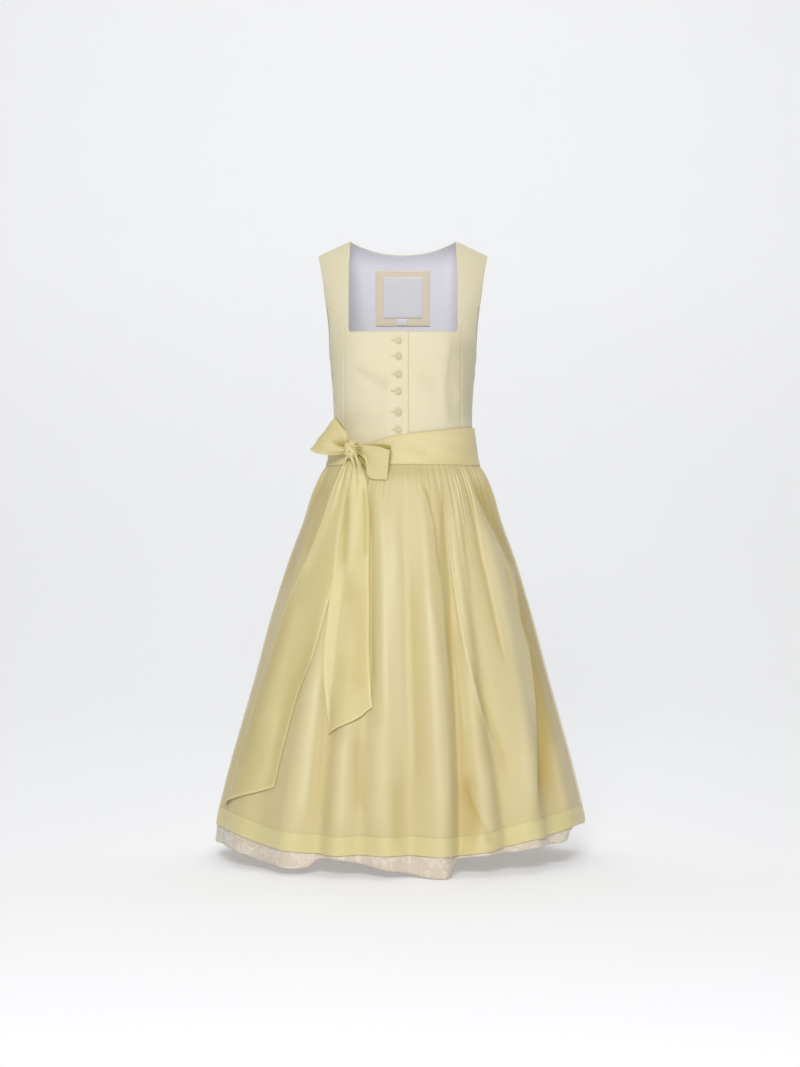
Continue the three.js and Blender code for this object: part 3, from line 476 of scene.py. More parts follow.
def brocade(name, ground, figure, pitch=0.046):
    """Tone-on-tone brocade: scattered five-petalled flowers, small leaves and stems on a ribbed ground."""
    shader = Shader(name, Sheen_Weight=0.25, Sheen_Roughness=0.4)
    place = shader.cloth_place()
    warp = shader.node("TexNoise", place, None, 28.0, 2.0).outputs["Color"]
    bend = shader.vector("SUBTRACT", warp, (0.5, 0.5, 0.5))
    bent = shader.vector("ADD", place, shader.vector("MULTIPLY", bend, (0.012, 0.012, 0)))

    def rosette(source, cell, reach, petals, depth, turn):
        cells = shader.node("TexVoronoi", voronoi_dimensions="2D")
        shader.tree.links.new(source, cells.inputs["Vector"])
        cells.inputs["Scale"].default_value = 1 / cell
        cells.inputs["Randomness"].default_value = 0.45
        local = shader.vector("SUBTRACT", source, cells.outputs["Position"])
        split = shader.node("SeparateXYZ", local)
        away = shader.maths("DIVIDE", shader.vector("LENGTH", local), reach)
        around = shader.maths("ARCTAN2", split.outputs[1], split.outputs[0])
        start = shader.maths("MULTIPLY", shader.node("SeparateXYZ", cells.outputs["Color"]).outputs[0], turn)
        lobes = shader.maths("COSINE", shader.maths("MULTIPLY_ADD", around, petals, start))
        edge = shader.maths("MULTIPLY_ADD", lobes, depth, 1 - depth)
        inside = shader.maths("SUBTRACT", edge, away)
        filled = shader.span(inside, -0.04, 0.06)
        from_edge = shader.maths("ABSOLUTE", shader.maths("SUBTRACT", inside, 0.04))
        return filled, shader.span(from_edge, 0.075, 0.03), away

    petal, outline, from_heart = rosette(bent, pitch, 0.0165, 5.0, 0.3, 6.28)
    vein = shader.span(shader.maths("SINE", shader.maths("MULTIPLY", from_heart, 20.0)), 0.6, 0.95)
    shifted = shader.vector("ADD", bent, (0.021, 0.013, 0))
    leaf, rim, _ = rosette(shifted, pitch * 0.62, 0.0095, 2.0, 0.46, 6.28)
    contour = shader.maths("ABSOLUTE", shader.maths("SUBTRACT", shader.noise(place, 16.0, 0.0), 0.5))
    stem = shader.span(contour, 0.012, 0.004)
    edges = shader.maths("MAXIMUM", outline, rim)
    beside = shader.maths("SUBTRACT", 1.0, petal)
    lines = shader.maths("MAXIMUM", edges, shader.maths("MULTIPLY", stem, beside))
    veined = shader.maths("MULTIPLY", petal, shader.maths("MULTIPLY_ADD", vein, 0.4, 0.3))
    filled = shader.maths("MAXIMUM", veined, shader.maths("MULTIPLY", leaf, 0.45))
    figured = shader.maths("MAXIMUM", shader.maths("MULTIPLY", lines, 0.95), filled)
    height = shader.plain_weave(0.8)[0]
    tint = shader.between(figured, ground, figure)
    split = shader.node("SeparateXYZ", place)
    slant = shader.maths("ADD", split.outputs[0], split.outputs[1])
    ribs = shader.maths("SINE", shader.maths("MULTIPLY", slant, 2 * math.pi / 0.0011))
    ground_height = shader.maths("MULTIPLY", ribs, shader.maths("SUBTRACT", 1.0, figured))
    roughness = shader.span(figured, 0.0, 1.0, 0.55, 0.3)
    normal = shader.bump(height, 0.06)
    normal = shader.bump(ground_height, 0.07, normal=normal)
    normal = shader.bump(figured, 0.45, normal=normal)
    return shader.give(Base_Color=tint, Roughness=roughness, Normal=normal)


# For each silk, the third and fourth colours are painted shade, laid into troughs and creases by the mesh's
# tone.
BODICE = silk("bodice_silk_linen", (235, 226, 193), (231, 221, 187), (212, 202, 169),
              (207, 196, 162), rough=(0.5, 0.66), Sheen_Weight=0.06, Sheen_Roughness=0.5)
LINING = woven("lining_cotton", (236, 235, 247), (226, 225, 239), pitch=0.6, slub=0.3,
               relief=0.06, rough=(0.6, 0.75))
PATCH_CLOTH = woven("patch_cotton", (238, 227, 209), (227, 214, 186), pitch=0.7, slub=0.4,
                    relief=0.08, rough=(0.55, 0.7))
LABEL_SATIN = woven("label_satin", (232, 232, 240), (220, 221, 232), pitch=0.4, slub=0.3,
                    relief=0.03, rough=(0.3, 0.42), Sheen_Weight=0.2)
THREAD = woven("sewing_thread", (230, 219, 184), (215, 202, 163), pitch=0.5, slub=0.6,
               relief=0.08, rough=(0.5, 0.65))
SASH = silk("sash_silk", (238, 224, 176), (232, 217, 162), (208, 188, 114),
            (198, 177, 98), Sheen_Weight=0.1, Sheen_Roughness=0.35)
LOOP = silk("bow_silk", (243, 230, 174), (237, 223, 162), (196, 175, 82),
            (186, 164, 72), alpha=0.8, Sheen_Weight=0.1, Sheen_Roughness=0.35)
TAIL = silk("tail_silk", (249, 235, 178), (245, 230, 170), (205, 180, 92),
            (200, 174, 86), alpha=0.82, Sheen_Weight=0.1, Sheen_Roughness=0.35)
ORGANZA = silk("apron_organza", (248, 235, 184), (245, 231, 178), (217, 193, 112),
               (213, 188, 106), alpha=0.74, relief=0.04, rough=(0.32, 0.44), Sheen_Weight=0.08,
               Sheen_Roughness=0.3)
HEM_CLOTH = silk("apron_hem_organza", (249, 238, 184), (245, 233, 176), (224, 205, 130),
                 (220, 200, 124), alpha=0.82, relief=0.04, rough=(0.32, 0.44), Sheen_Weight=0.08)
BROCADE = brocade("skirt_brocade", (228, 214, 194), (246, 236, 220))


# Bodice

def edge_groove(distance, deep=0.7, width=1.5):
    """How far a panel sinks towards a seam."""
    return -deep * bell(distance / width)


# The front's cut edge beside the neck, the grid's row at the neckline, and its steps away from the corner
NECK_X = STRAP_INNER + 2
NECK_ROW = 65
CORNER_STEPS = np.array([1, 2.2, 3.6, 5.2, 7, 9.5, 12.5])


def shoulder_rows():
    """Levels from the waist to the shoulder, close together at the neckline's corners and the top."""
    chest = np.linspace(CLOTH_HEM, NECKLINE, NECK_ROW + 1)
    strap = np.linspace(-157, -38, 36)
    top = -np.linspace(6, root(SHOULDER), 15) ** 2
    return np.concatenate([chest, NECKLINE + CORNER_STEPS, strap, top])


# Soft pulls of the bodice's cloth, as lines in the photograph with their half widths and depth. Their troughs
# are also painted darker through the tone, and the last troughs, on the wearer's left side, paint the shade
# where the bodice turns away.
BODICE_PULLS = [
    ([(354, 368), (372, 378), (390, 388)], 5, -1.3), ([(352, 376), (368, 388)], 5, 0.9),
    ([(350, 350), (362, 342)], 6, 0.8), ([(345, 400), (362, 405), (380, 402)], 7, 0.6),
    ([(420, 372), (436, 392)], 8, -0.8), ([(412, 345), (430, 350), (446, 346)], 9, 0.5),
    ([(350, 415), (380, 424)], 8, -0.7), ([(420, 410), (446, 402)], 9, 0.6),
    ([(450, 336), (446, 369), (443, 388), (446, 411), (450, 432)], 6, 2.5, 1.3),
    ([(458, 330), (453, 350), (450, 369), (450, 388), (452, 412), (452, 430)], 5, 11, -1.8),
    ([(469, 335), (468, 372), (469, 395), (470, 428)], 9, 9, -2.2),
    ([(455, 384), (459, 394), (457, 404)], 3, 0.8),
]


def overlap_lift(x):
    """How far the right front rises to lie over the left front."""
    return OVERLAP * smooth(x, LIFT_FROM, LIFT_TO)


# Painted shade: the cloth darker in the pulls' troughs.
def bodice_painted_shade(depth):
    return np.clip(0.92 + 0.26 * np.minimum(depth, 0), 0, 1)


def round_corner(x, level, corner):
    """Moves the grid beside the neckline's corner, at a column, on to a quarter circle."""
    column = np.arange(x.shape[1])
    centre_x, centre_z = NECK_X - CORNER_RADIUS, NECKLINE + CORNER_RADIUS
    aside, up = NECK_X - x[NECK_ROW], level[:, 0] - NECKLINE
    turn = np.radians(np.where(aside <= CORNER_RADIUS, 45 * (1 - aside / CORNER_RADIUS), 0))
    on_arc = (aside >= 0) & (aside <= CORNER_RADIUS)
    to_x = np.where(on_arc, centre_x + CORNER_RADIUS * np.sin(turn) - x[NECK_ROW], 0)
    to_z = np.where(on_arc, centre_z - CORNER_RADIUS * np.cos(turn) - NECKLINE, 0)
    turn = np.radians(45 + 45 * np.clip(up / CORNER_RADIUS, 0, 1))
    on_arc = (up > 0) & (up <= CORNER_RADIUS)
    up_x = np.where(on_arc, centre_x + CORNER_RADIUS * np.sin(turn) - NECK_X, 0)[:, None]
    up_z = np.where(on_arc, centre_z - CORNER_RADIUS * np.cos(turn) - level[:, 0], 0)[:, None]
    fade_down = np.clip(1 - (NECKLINE - level) / 10, 0, 1) ** 2 * (level <= NECKLINE)
    fade_side = np.clip(1 - (x - NECK_X) / 10, 0, 1) ** 2 * (column <= corner)
    past, both = column >= corner, fade_down * fade_side * (column < corner)
    return (x + fade_down * np.where(past, to_x, 0) + fade_side * up_x + both * to_x[corner],
            level + fade_down * np.where(past, to_z, 0) + fade_side * up_z + both * to_z[corner])


def front_panel(side):
    rows = shoulder_rows()
    shares = np.concatenate([np.linspace(1, 0.93, 5), np.linspace(0.9, 0.08, 12), [0.04, 0]])
    edge = -EDGE_X if side < 0 else UNDER_X
    chest = np.concatenate([NECK_X - CORNER_STEPS, np.linspace(80, edge + 1.2, 34), [edge]])
    level = np.repeat(rows[:, None], len(shares) + len(chest), 1)
    outer = np.where(rows <= SEAM_TOP, front_seam_x(rows), strap_edge_x(rows))
    inner = STRAP_INNER + np.where(rows < -60, 2, 2 * rows / -60)
    x = np.concatenate([mix(inner[:, None], outer[:, None], shares), np.repeat(chest[None], len(rows), 0)], 1)
    corner = len(shares) - 1
    from_seam = np.abs(outer[:, None] - x)
    x, level = round_corner(x, level, corner)
    x = x * side
    lift = overlap_lift(x) if side < 0 else np.where(x < EDGE_X, -0.6, 0.0)
    angle = angle_at(x, level)
    pulls = creases(angle, level, BODICE_PULLS) * smooth(np.abs(x - EDGE_X), 2, 14)
    pucker = 0.22 * np.sin(level * 0.42 + 1.3 * side) * np.exp(-from_seam / 7) * (level < SEAM_TOP)
    out = lift + edge_groove(from_seam) * (level <= SEAM_TOP) + pulls + pucker
    out += edge_groove(level - SHOULDER, 0.7, 1.6)
    points = body_point(angle, level, out)
    keep = (np.arange(len(rows) - 1)[:, None] < NECK_ROW) | (np.arange(x.shape[1] - 1)[None] < corner)
    grid = points, cloth_uv(x, level), bodice_painted_shade(pulls), keep
    return grid if side < 0 else [part[:, ::-1] for part in grid]


def side_place(level, share, on_back):
    """A place on a side panel: share runs from the curved seam at 0 to the side seam at 1."""
    seam = np.abs(angle_at((back_seam_x if on_back else front_seam_x)(level), level, on_back))
    up = (level - BODICE_HEM) / (SEAM_TOP - BODICE_HEM)
    turn = np.radians(90 * share)
    across = mix(share, 1 - np.cos(turn), up)
    return mix(seam, 90.0, across), mix(BODICE_HEM, mix(SEAM_TOP, UNDERARM, np.sin(turn)), up), up


def side_panel(side, on_back):
    rows = np.linspace(CLOTH_HEM, SEAM_TOP, 70)[:, None]
    share = np.concatenate([[0, 0.012, 0.03, 0.06], np.linspace(0.1, 0.93, 18), [0.965, 0.985, 1]])[None]
    angle, level, up = side_place(rows, share, on_back)
    wide = np.radians(np.abs(angle - 90)) * 120
    from_seam = share * wide[:, :1]
    out = edge_groove(from_seam) + edge_groove(wide) * (1 - up) ** 0.25
    out = out + 0.2 * np.sin(level * 0.42 + side) * np.exp(-from_seam / 7)
    slack = np.sin(level * 0.055 + side + on_back) * np.sin(np.pi * share)
    out = out + 1.1 * slack * bell((level + 330) / 60)
    out = out + 0.8 * bell((level + 225 + 18 * share) / 9) * share
    if not on_back:
        pulls = creases(side * angle, level, BODICE_PULLS)
        out = out + pulls * (1 - smooth(share, 0.6, 1.0))
    points = body_point(side * angle, level, out)
    uv = cloth_uv(side * np.radians(angle) * BODICE_ROUND, level)
    tone = bodice_painted_shade(0 * points[..., 0] if on_back else pulls)
    if (side > 0) == on_back:
        points, uv, tone = points[:, ::-1], uv[:, ::-1], tone[:, ::-1]
    return points, uv, tone


def back_place(at, share):
    edge = np.where(at <= SEAM_TOP, back_seam_x(at), strap_edge_x(at))
    neck = np.maximum(0, 1 - (share * STRAP_OUTER / STRAP_INNER) ** 2)
    up = (at - BODICE_HEM) / (SHOULDER - BODICE_HEM)
    level = mix(BODICE_HEM, SHOULDER - BACK_NECK_DROP * neck, up)
    return angle_at(share * edge, level, True), level, edge


def bodice_back():
    rows = shoulder_rows()[:, None]
    near_seam = np.geomspace(1, 0.9, 6)
    share = np.concatenate([-near_seam, np.linspace(-0.86, 0.86, 60), np.geomspace(0.9, 1, 6)])[None]
    angle, level, edge = back_place(rows, -share)
    from_seam = (1 - np.abs(share)) * edge
    out = edge_groove(from_seam) * (rows <= SEAM_TOP) + edge_groove(rows - SHOULDER, 0.7, 1.6)
    out = out + 0.2 * np.sin(level * 0.42) * np.exp(-from_seam / 7) * (rows <= SEAM_TOP)
    out = out + 1.2 * bell((level + 318 + 22 * share ** 2) / 9) * bell(share / 0.8)
    out = out - 1.0 * bell((level + 345 - 16 * share) / 8)
    points = body_point(angle % 360, level, out)
    return points, cloth_uv(-share * edge, level), bodice_painted_shade(0 * points[..., 0])


def back_lining():
    rows = shoulder_rows()[:, None]
    side_share = np.array([0.985, 0.9, 0.8, 0.7, 0.6, 0.5, 0.4, 0.3, 0.2, 0.1])[None]
    share = np.linspace(-1, 1, 61)[None]
    below = np.minimum(rows, SEAM_TOP)
    left_angle, left_level, _ = side_place(below, side_share, True)
    angle, level, _ = back_place(rows, -share)
    right_angle, right_level, _ = side_place(below, side_share[:, ::-1], True)
    angles = np.concatenate([left_angle, angle % 360, 360 - right_angle], 1)
    levels = np.concatenate([left_level, level, right_level], 1)
    span = np.concatenate([np.ones((1, 10)), np.abs(share), np.ones((1, 10))], 1)
    x = base_point(angles, levels)[..., 0]
    out = LINING_OUT - edge_groove(np.abs(x), 0.5, 1.0)
    out = out + 0.5 * bell((x - 64) / 5) * smooth(levels, -150, -60)
    out = out - 0.6 * bell((x - 74) / 5) * smooth(levels, -150, -60)
    out = out - 0.5 * bell((x + 70) / 7) + 0.25 * np.sin(levels / 21 + x / 17) * (1 - span)
    points = body_point(angles, levels, out)
    column = np.arange(points.shape[1] - 1)[None]
    is_side = (column < 10) | (column >= 70)
    keep = (rows[:-1] < SEAM_TOP - 1) | ~is_side
    return points, cloth_uv(np.radians(angles) * BODICE_ROUND, levels), keep


def add_bodice():
    for side, word in ((-1, "right"), (1, "left")):
        *grid, keep = front_panel(side)
        add_cloth(f"bodice_front_{word}", "cloth", grid, BODICE, 1.4, keep)
        for on_back, place in ((False, "front"), (True, "back")):
            row = f"bodice_side_{place}"
            grid = side_panel(side, on_back)
            add_cloth(f"{row}_{word}", "cloth", grid, BODICE, 1.4)
    add_cloth("bodice_back", "cloth", bodice_back(), BODICE, 1.4)
    *grid, keep = back_lining()
    add_cloth("back_lining", "cloth", grid, LINING, 0.7, keep)


add_bodice()


# Labels

def back_label(span, rest, rise, columns, rows, stitch):
    """A label inside the back, laid on what carries it: its edges lie down and its middle stands off."""
    left, right, top, bottom = span
    level = np.linspace(bottom, top, rows)[:, None]
    x = np.linspace(right, left, columns)[None]
    from_edge = np.minimum(np.minimum(level - bottom, top - level), np.minimum(x - left, right - x))
    out = rest - rise * (1 - np.exp(-from_edge / 2.5)) + stitch * bell((from_edge - 2.6) / 0.7)
    return body_point(angle_behind(x, level), level, out), cloth_uv(-x, level)


def stitches(name, paths, length, gap, thick, material):
    """Short rounded stitches along paths of points."""
    shares, widths = np.array([(0.0, 0.25), (0.2, 0.85), (0.5, 1.0), (0.8, 0.85), (1.0, 0.25)]).T
    turn = np.radians(np.arange(0, 360, 60))[:, None]
    last, sides = len(shares) - 1, len(turn)
    vertices, faces = [], []
    for path in paths:
        gone = np.concatenate([[0], np.cumsum(np.linalg.norm(np.diff(path, axis=0), axis=1))])
        for start in np.arange(0, gone[-1] - length, length + gap):
            spots = np.stack([np.interp(start + shares * length, gone, axis) for axis in path.T], -1)
            along = unit(spots[-1] - spots[0])
            side = unit(np.cross(along, [0, -1, 0.02]))
            round_it = np.cos(turn) * side + np.sin(turn) * np.cross(side, along)
            ring = len(vertices) + np.arange(len(shares) * sides).reshape(len(shares), sides)
            beside = np.roll(ring, -1, 1)
            vertices.extend((spots[:, None] + thick * widths[:, None, None] * round_it).reshape(-1, 3) * MM)
            faces += np.stack([ring[:-1], beside[:-1], beside[1:], ring[1:]], -1).reshape(-1, 4).tolist()
            faces += [ring[0, ::-1].tolist(), ring[last].tolist()]
    mesh = bpy.data.meshes.new(name)
    mesh.from_pydata([tuple(v) for v in vertices], [], faces)
    mesh.polygons.foreach_set("use_smooth", np.ones(len(faces), bool))
    mesh.uv_layers.new(name="UVMap")
    return add_piece(name, mesh, material)


def outline(corners, counts):
    """Places round a closed outline, so many to each side, and the first again at the end."""
    corners = np.array(corners, float)
    sides = zip(corners, np.roll(corners, -1, 0), counts)
    places = [mix(a, b, t) for a, b, count in sides for t in np.linspace(0, 1, count, endpoint=False)]
    return np.array(places + [corners[0]])


def label_outline(span, inset, rest):
    left, right, top, bottom = np.array(span) + (inset, -inset, -inset, inset)
    counts = [max(2, int(size / 1.5)) for size in 2 * (top - bottom, right - left)]
    path = outline([(left, bottom), (left, top), (right, top), (right, bottom)], counts)
    return body_point(angle_behind(*path.T), path[:, 1], rest)


def add_labels():
    for node, weave, material, slot, thickness, *shape in (
            ("label_patch", "cloth", PATCH_CLOTH, "patch", 0.7, PATCH, PATCH_OUT, 0.9, 60, 60, 0.35),
            ("neck_label", "satin", LABEL_SATIN, "label", 0.5, NECK_LABEL, LABEL_OUT, 0.8, 60, 60, 0.3),
            ("size_label", "satin", LABEL_SATIN, "label", 0.4, SIZE_LABEL, LABEL_OUT, 0.6, 24, 16, 0.0)):
        add_cloth(node, weave, back_label(*shape), material, thickness)
    stitches("patch_stitches", [label_outline(PATCH, 2.6, -5.1)], 2.4, 0.9, 0.28, THREAD)
    stitches("label_stitches", [label_outline(NECK_LABEL, 2.6, -6.6)], 1.8, 0.8, 0.22, LABEL_SATIN)


add_labels()


# Buttons and buttonholes

def button_material():
    shader = Shader("button_cast", Metallic=0.0, Coat_Weight=0.15, Coat_Roughness=0.35)
    place = shader.node("TexCoord").outputs["Object"]
    grain = shader.noise(place, 900.0, 3.0)
    worn = shader.span(shader.noise(place, 260.0), 0.4, 0.62)
    # The tone paints shade: the dark colour in the button's hollows, the face colours on its raised parts.
    tone = shader.node("Attribute", attribute_name="tone").outputs["Fac"]
    face = shader.between(worn, (226, 213, 176), (238, 228, 196))
    tint = shader.between(tone, (180, 162, 118), face)
    return shader.give(Base_Color=tint, Roughness=shader.span(grain, 0.3, 0.7, 0.32, 0.5),
                       Normal=shader.bump(grain, 0.05))


BUTTON_CAST = button_material()


def button_mesh(name, centre, normal):
    """A shank button: a raised rope rim round a six-petalled rosette."""
    radius, height = BUTTON["radius"], BUTTON["height"]
    rings = [(0.0, 0.0), (0.5, 0.0), (0.8, 0.02), (0.95, 0.3), (1.0, 0.55), (0.985, 0.8), (0.95, 0.95),
             (0.9, 1.0), (0.85, 0.95), (0.81, 0.78), (0.77, 0.66), (0.68, 0.64), (0.58, 0.64), (0.48, 0.64),
             (0.38, 0.64),
             (0.3, 0.64), (0.22, 0.64), (0.15, 0.64), (0.08, 0.64), (0.0, 0.64)]
    around = np.radians(np.arange(0, 360, 360 / 72))
    points, tone = [], []
    for i, (r, h) in enumerate(rings):
        petal = 0.5 + 0.5 * np.cos(6 * around)
        rosette = 0.16 * bell((r - 0.42) / 0.17) * petal ** 0.8 * (i > 9)
        heart = 0.2 * bell(r / 0.15) * (i > 9)
        rope = 0.05 * np.cos(24 * around + 8 * r) * (0.8 < r < 0.99) * (i > 4)
        z = (h + rosette + heart + rope) * height
        points.append(np.stack([r * radius * np.cos(around), r * radius * np.sin(around), z], -1))
        # Tone as painted shade: low in the hollows, high on the rosette, the heart, the rim's top and the
        # rope's ridges.
        tone.append(np.clip(0.25 + 4.2 * (rosette + heart) + (h > 0.75) * 0.75 + rope * 4, 0, 1) + 0 * around)
    points = np.stack(points)
    normal = unit(normal)
    up = unit(UP - normal * normal[2])
    side = np.cross(up, normal)
    world = centre + points[..., :1] * side + points[..., 1:2] * up + points[..., 2:] * normal
    uv = cloth_uv(np.degrees(around)[None] * 0.1, points[..., 2])
    return grid_mesh(name, world, uv, ring=True, tone=np.stack(tone))


def add_buttons():
    paths, slits = [], []
    x = BUTTON["x"]
    for i, (level, seat) in enumerate(BUTTONS):
        angle = angle_at(np.array(x), level)
        centre = body_point(angle, level, OVERLAP + seat)
        normal = body_point(angle, level, OVERLAP + seat + 1) - centre
        node = f"button_{i + 1}"
        add_piece(node + "_cast", button_mesh(node, centre, normal), BUTTON_CAST, [node])
        path = outline([(x + 1.5, level + 1.3), (x + 1.5, level - 1.3), (x - 12.5, level - 1.3),
                        (x - 12.5, level + 1.3)], [8] * 4)
        paths.append(body_point(angle_at(*path.T), path[:, 1], overlap_lift(path[:, 0]) + 0.12))
        slit_x = np.linspace(x - 11.8, x + 1, 14)[None]
        slit_z = level + np.linspace(-0.55, 0.55, 4)[:, None]
        slits.append(body_point(angle_at(slit_x, slit_z), slit_z, overlap_lift(slit_x) + 0.05))
    stitches("buttonhole_stitches", paths, 0.75, 0.12, 0.42, THREAD)
    rows = np.concatenate(slits)
    keep = np.ones((len(rows) - 1, rows.shape[1] - 1), bool)
    keep[3::4] = False
    mesh = grid_mesh("buttonhole_slits", rows, cloth_uv(rows[..., 0], rows[..., 2]), keep)
    # The slits' darker cloth is painted shade in the cuts.
    slit_shade = woven("buttonhole_slit", (206, 193, 156), (194, 180, 142))
    add_piece("buttonhole_slits", mesh, slit_shade)


add_buttons()


# Skirt and apron

# The drape's smaller creases on the front, as lines in the photograph with their half widths and depth. Their
# depth also paints shade into the apron's colour: darker troughs, and the dark band down the apron's side at
# the wearer's left.
FRONT_CREASES = [
    ([(396, 525), (398, 600), (399, 660), (402, 720), (405, 770)], 9, 5, 1.8),
    ([(410, 560), (412, 640), (415, 720), (417, 800)], 3, 12, -1.6),
    ([(425, 577), (432, 620), (440, 680), (446, 750), (448, 830)], 10, 4, 1.8),
    ([(421, 480), (429, 498), (436, 534), (438, 557), (441, 580)], 1.5, 3, -2.0),
    ([(431, 500), (434, 530)], 3, 1.0),
    ([(444, 477), (443, 520), (442, 560), (445, 598), (448, 632), (452, 680)], 2.5, 9, -2.0),
    ([(446, 610), (449, 640), (453, 690), (457, 740), (459, 790), (460, 850)], 2.5, 6, -1.5),
    ([(448, 509), (449, 548), (453, 576), (458, 609), (464, 643), (471, 673), (479, 709), (488, 732),
      (496, 754)], 1.5, 1.8, 2.4),
    ([(452, 600), (456, 650), (460, 690), (466, 740)], 2, 2.5, 1.0),
    ([(456, 478), (457, 517), (461, 545), (470, 600)], 2, 3, 1.2),
    ([(463, 520), (466, 560), (472, 600)], 3, -1.2),
    ([(471, 659), (481, 695), (491, 723), (501, 755), (507, 781)], 6, 3, -1.7),
    ([(466, 482), (472, 508), (477, 534), (481, 557), (486, 576), (492, 604), (499, 637), (506, 665)],
     4, 1.6, -2.4),
    ([(476, 516), (493, 550), (506, 600), (519, 650), (527, 700), (531, 750), (532, 805)], 9, 5, 4.4),
    ([(472, 482), (478, 495), (487, 515), (497, 534), (505, 551), (514, 572)], 2, 10, -4.4),
    ([(512, 560), (519, 590), (523, 620), (531, 646), (535, 673), (538, 701), (539, 743), (539, 812)],
     2, 15, -5.4),
    ([(328, 468), (317, 496), (304, 530), (294, 560), (286, 590)], 6, 4, -2.4),
    ([(262, 640), (250, 690), (238, 740), (230, 775)], 5, 4, -1.8),
    ([(502, 568), (510, 587)], 1.5, 3, -1.4), ([(553, 740), (560, 790), (566, 815)], 4, 5, 1.6),
    ([(465, 779), (468, 798), (481, 823), (495, 843)], 7, 2, -2.4),
    ([(319, 673), (312, 740), (303, 822)], 9, 3, 2.4), ([(324, 680), (322, 750), (318, 822)], 2, 6, -0.9),
    ([(398, 780), (398, 845)], 7, -1.4), ([(342, 741), (342, 828)], 7, 1.6),
    ([(358, 735), (360, 812)], 5, -2.0), ([(378, 719), (378, 828)], 8, 6, 1.5),
    ([(369, 486), (371, 560), (371, 640), (373, 700)], 2.5, 4, -2.6),
    ([(381, 500), (384, 620), (386, 720)], 4, 1.8),
    ([(468, 770), (472, 845)], 6, 8, -1.8), ([(487, 760), (489, 840)], 7, 1.6),
    ([(329, 480), (316, 520), (304, 560)], 3, 6, -1.6),
]
# The same kind of creases on the sides and back: level and angle at both ends, half width and depth
ROUND_CREASES = [
    (-430, 104, -760, 106, 2.2, 2.0), (-420, 110, -820, 110, 2.0, -2.6), (-440, 124, -700, 125, 2.0, 2.2),
    (-420, 139, -900, 139, 2.0, -2.4), (-430, 153, -760, 154, 2.0, 2.4), (-420, 167, -860, 167, 1.9, -2.6),
    (-430, 183, -720, 182, 2.1, 2.2), (-425, 198, -880, 198, 2.0, -2.6), (-440, 212, -740, 213, 2.0, 2.2),
    (-420, 226, -840, 226, 2.0, -2.4), (-430, 241, -780, 242, 2.2, 2.2), (-430, 257, -900, 258, 2.2, -2.2),
    (-440, 271, -760, 272, 2.2, 1.6), (-440, 88, -760, 92, 2.0, -1.6), (-600, 146, -1070, 148, 2.6, -2.0),
    (-640, 190, -1060, 189, 3.0, 2.2), (-620, 232, -1080, 231, 2.6, -2.0),
]


def drape_depth(angle, level):
    """The smaller creases of the skirt at an angle and level."""
    facing = smooth(np.cos(np.radians(angle)), -0.05, 0.2)
    depth = creases(angle, level, FRONT_CREASES) * facing
    for top, start, bottom, end, width, out in ROUND_CREASES:
        share = (top - level) / (top - bottom)
        across = wrap(angle - mix(start, end, share)) / width
        ends = smooth(share, -0.05, 0.15) * (1 - smooth(share, 0.7, 1.1))
        depth += out * ends * bell(across)
    return depth * smooth(-level, 405, 450)


def gathered(angle, level, spacing, seed):
    """The fine gathers under the band: uneven crests that run down and fade at different heights. They are
    closer at the left front, and softer beside the bow."""
    random = np.random.default_rng(seed)
    total = np.zeros(np.broadcast(angle, level).shape)
    rise = gather_rise(level)
    centre = -180.0
    while centre < 180:
        close, soft = 24 < centre < 84, -70 < centre < 20
        step = spacing * (0.74 if close else 1)
        centre += step * random.uniform(0.6, 1.4)
        wide = step * random.uniform(0.22, 0.36)
        high = random.uniform(0.3, 1.25) * (0.4 if soft else 1.0)
        fade_at = random.uniform(425, 450 if soft else 590)
        lean = random.uniform(-0.35, 0.35) * smooth(-level, 400, 560)
        across = wrap(angle - centre - lean) / wide
        total += high * bell(across) * (1 - smooth(-level, fade_at - 20, fade_at + 60))
    return rise * total


def hem_of(angle):
    turned = wrap(angle)
    return np.where(np.abs(turned) <= APRON_EDGE, apron_hem(turned), skirt_hem(turned) + HEM_BAND)


# Painted shade: darker in troughs and creases, lighter on ridges and on the gathers' crests.
def fold_painted_shade(fold, creased, fine=0.0):
    return np.clip(0.7 + 0.003 * fold + 0.14 * creased + 0.14 * fine, 0, 1)


def skirt_panel(levels, start, end, columns, seed):
    angle = np.linspace(start, end, columns)[None]
    share = levels[:, None]
    level = mix(CLOTH_HEM + 2, skirt_hem(wrap(angle)), share)
    creased = drape_depth(angle, level)
    is_back = smooth(np.abs(wrap(angle - 180)), 84, 80)
    fine = gathered(angle, level, 4.4, seed) * is_back
    roll = -0.9 * bell((level - skirt_hem(wrap(angle))) / 1.4)
    stitch = -0.45 * bell((level - skirt_hem(wrap(angle)) - 26) / 1.3) * is_back
    seam = edge_groove(np.radians(np.minimum(angle - start, end - angle)) * 250, 1.0, 2.2)
    points = body_point(angle, level, creased + fine + roll + stitch + seam - 0.2)
    uv = cloth_uv(np.radians(angle) * SKIRT_ROUND, -level)
    return points[::-1], uv[::-1], fold_painted_shade(fold_depth(angle, level), creased, fine)[::-1]


def add_skirt():
    levels = np.concatenate([np.linspace(0, 0.25, 46), np.linspace(0.26, 0.985, 56), [0.99, 0.995, 1.0]])
    for node, *shape in (("skirt_front", -90, 90, 260, 3), ("skirt_back", 90, 270, 400, 5)):
        grid = skirt_panel(levels, *shape)
        add_cloth(node, "brocade", grid, BROCADE, 0.8)


# How far out the apron lies, the tails' least distance over it, and its gathers' spacing and seed
APRON_OUT, TAIL_GAP, APRON_GATHERS = 2.2, 1.4, (2.9, 7)


def apron_place(angle, level):
    creased = drape_depth(angle, level)
    fine = gathered(angle, level, *APRON_GATHERS)
    from_edge = np.radians(APRON_EDGE - np.abs(angle)) * -0.32 * level
    roll = 0.7 * (1 - smooth(from_edge, 4.5, 5.5)) * smooth(-level, 405, 440)
    out = APRON_OUT + creased + fine + roll
    return body_point(angle, level, out), creased, fine


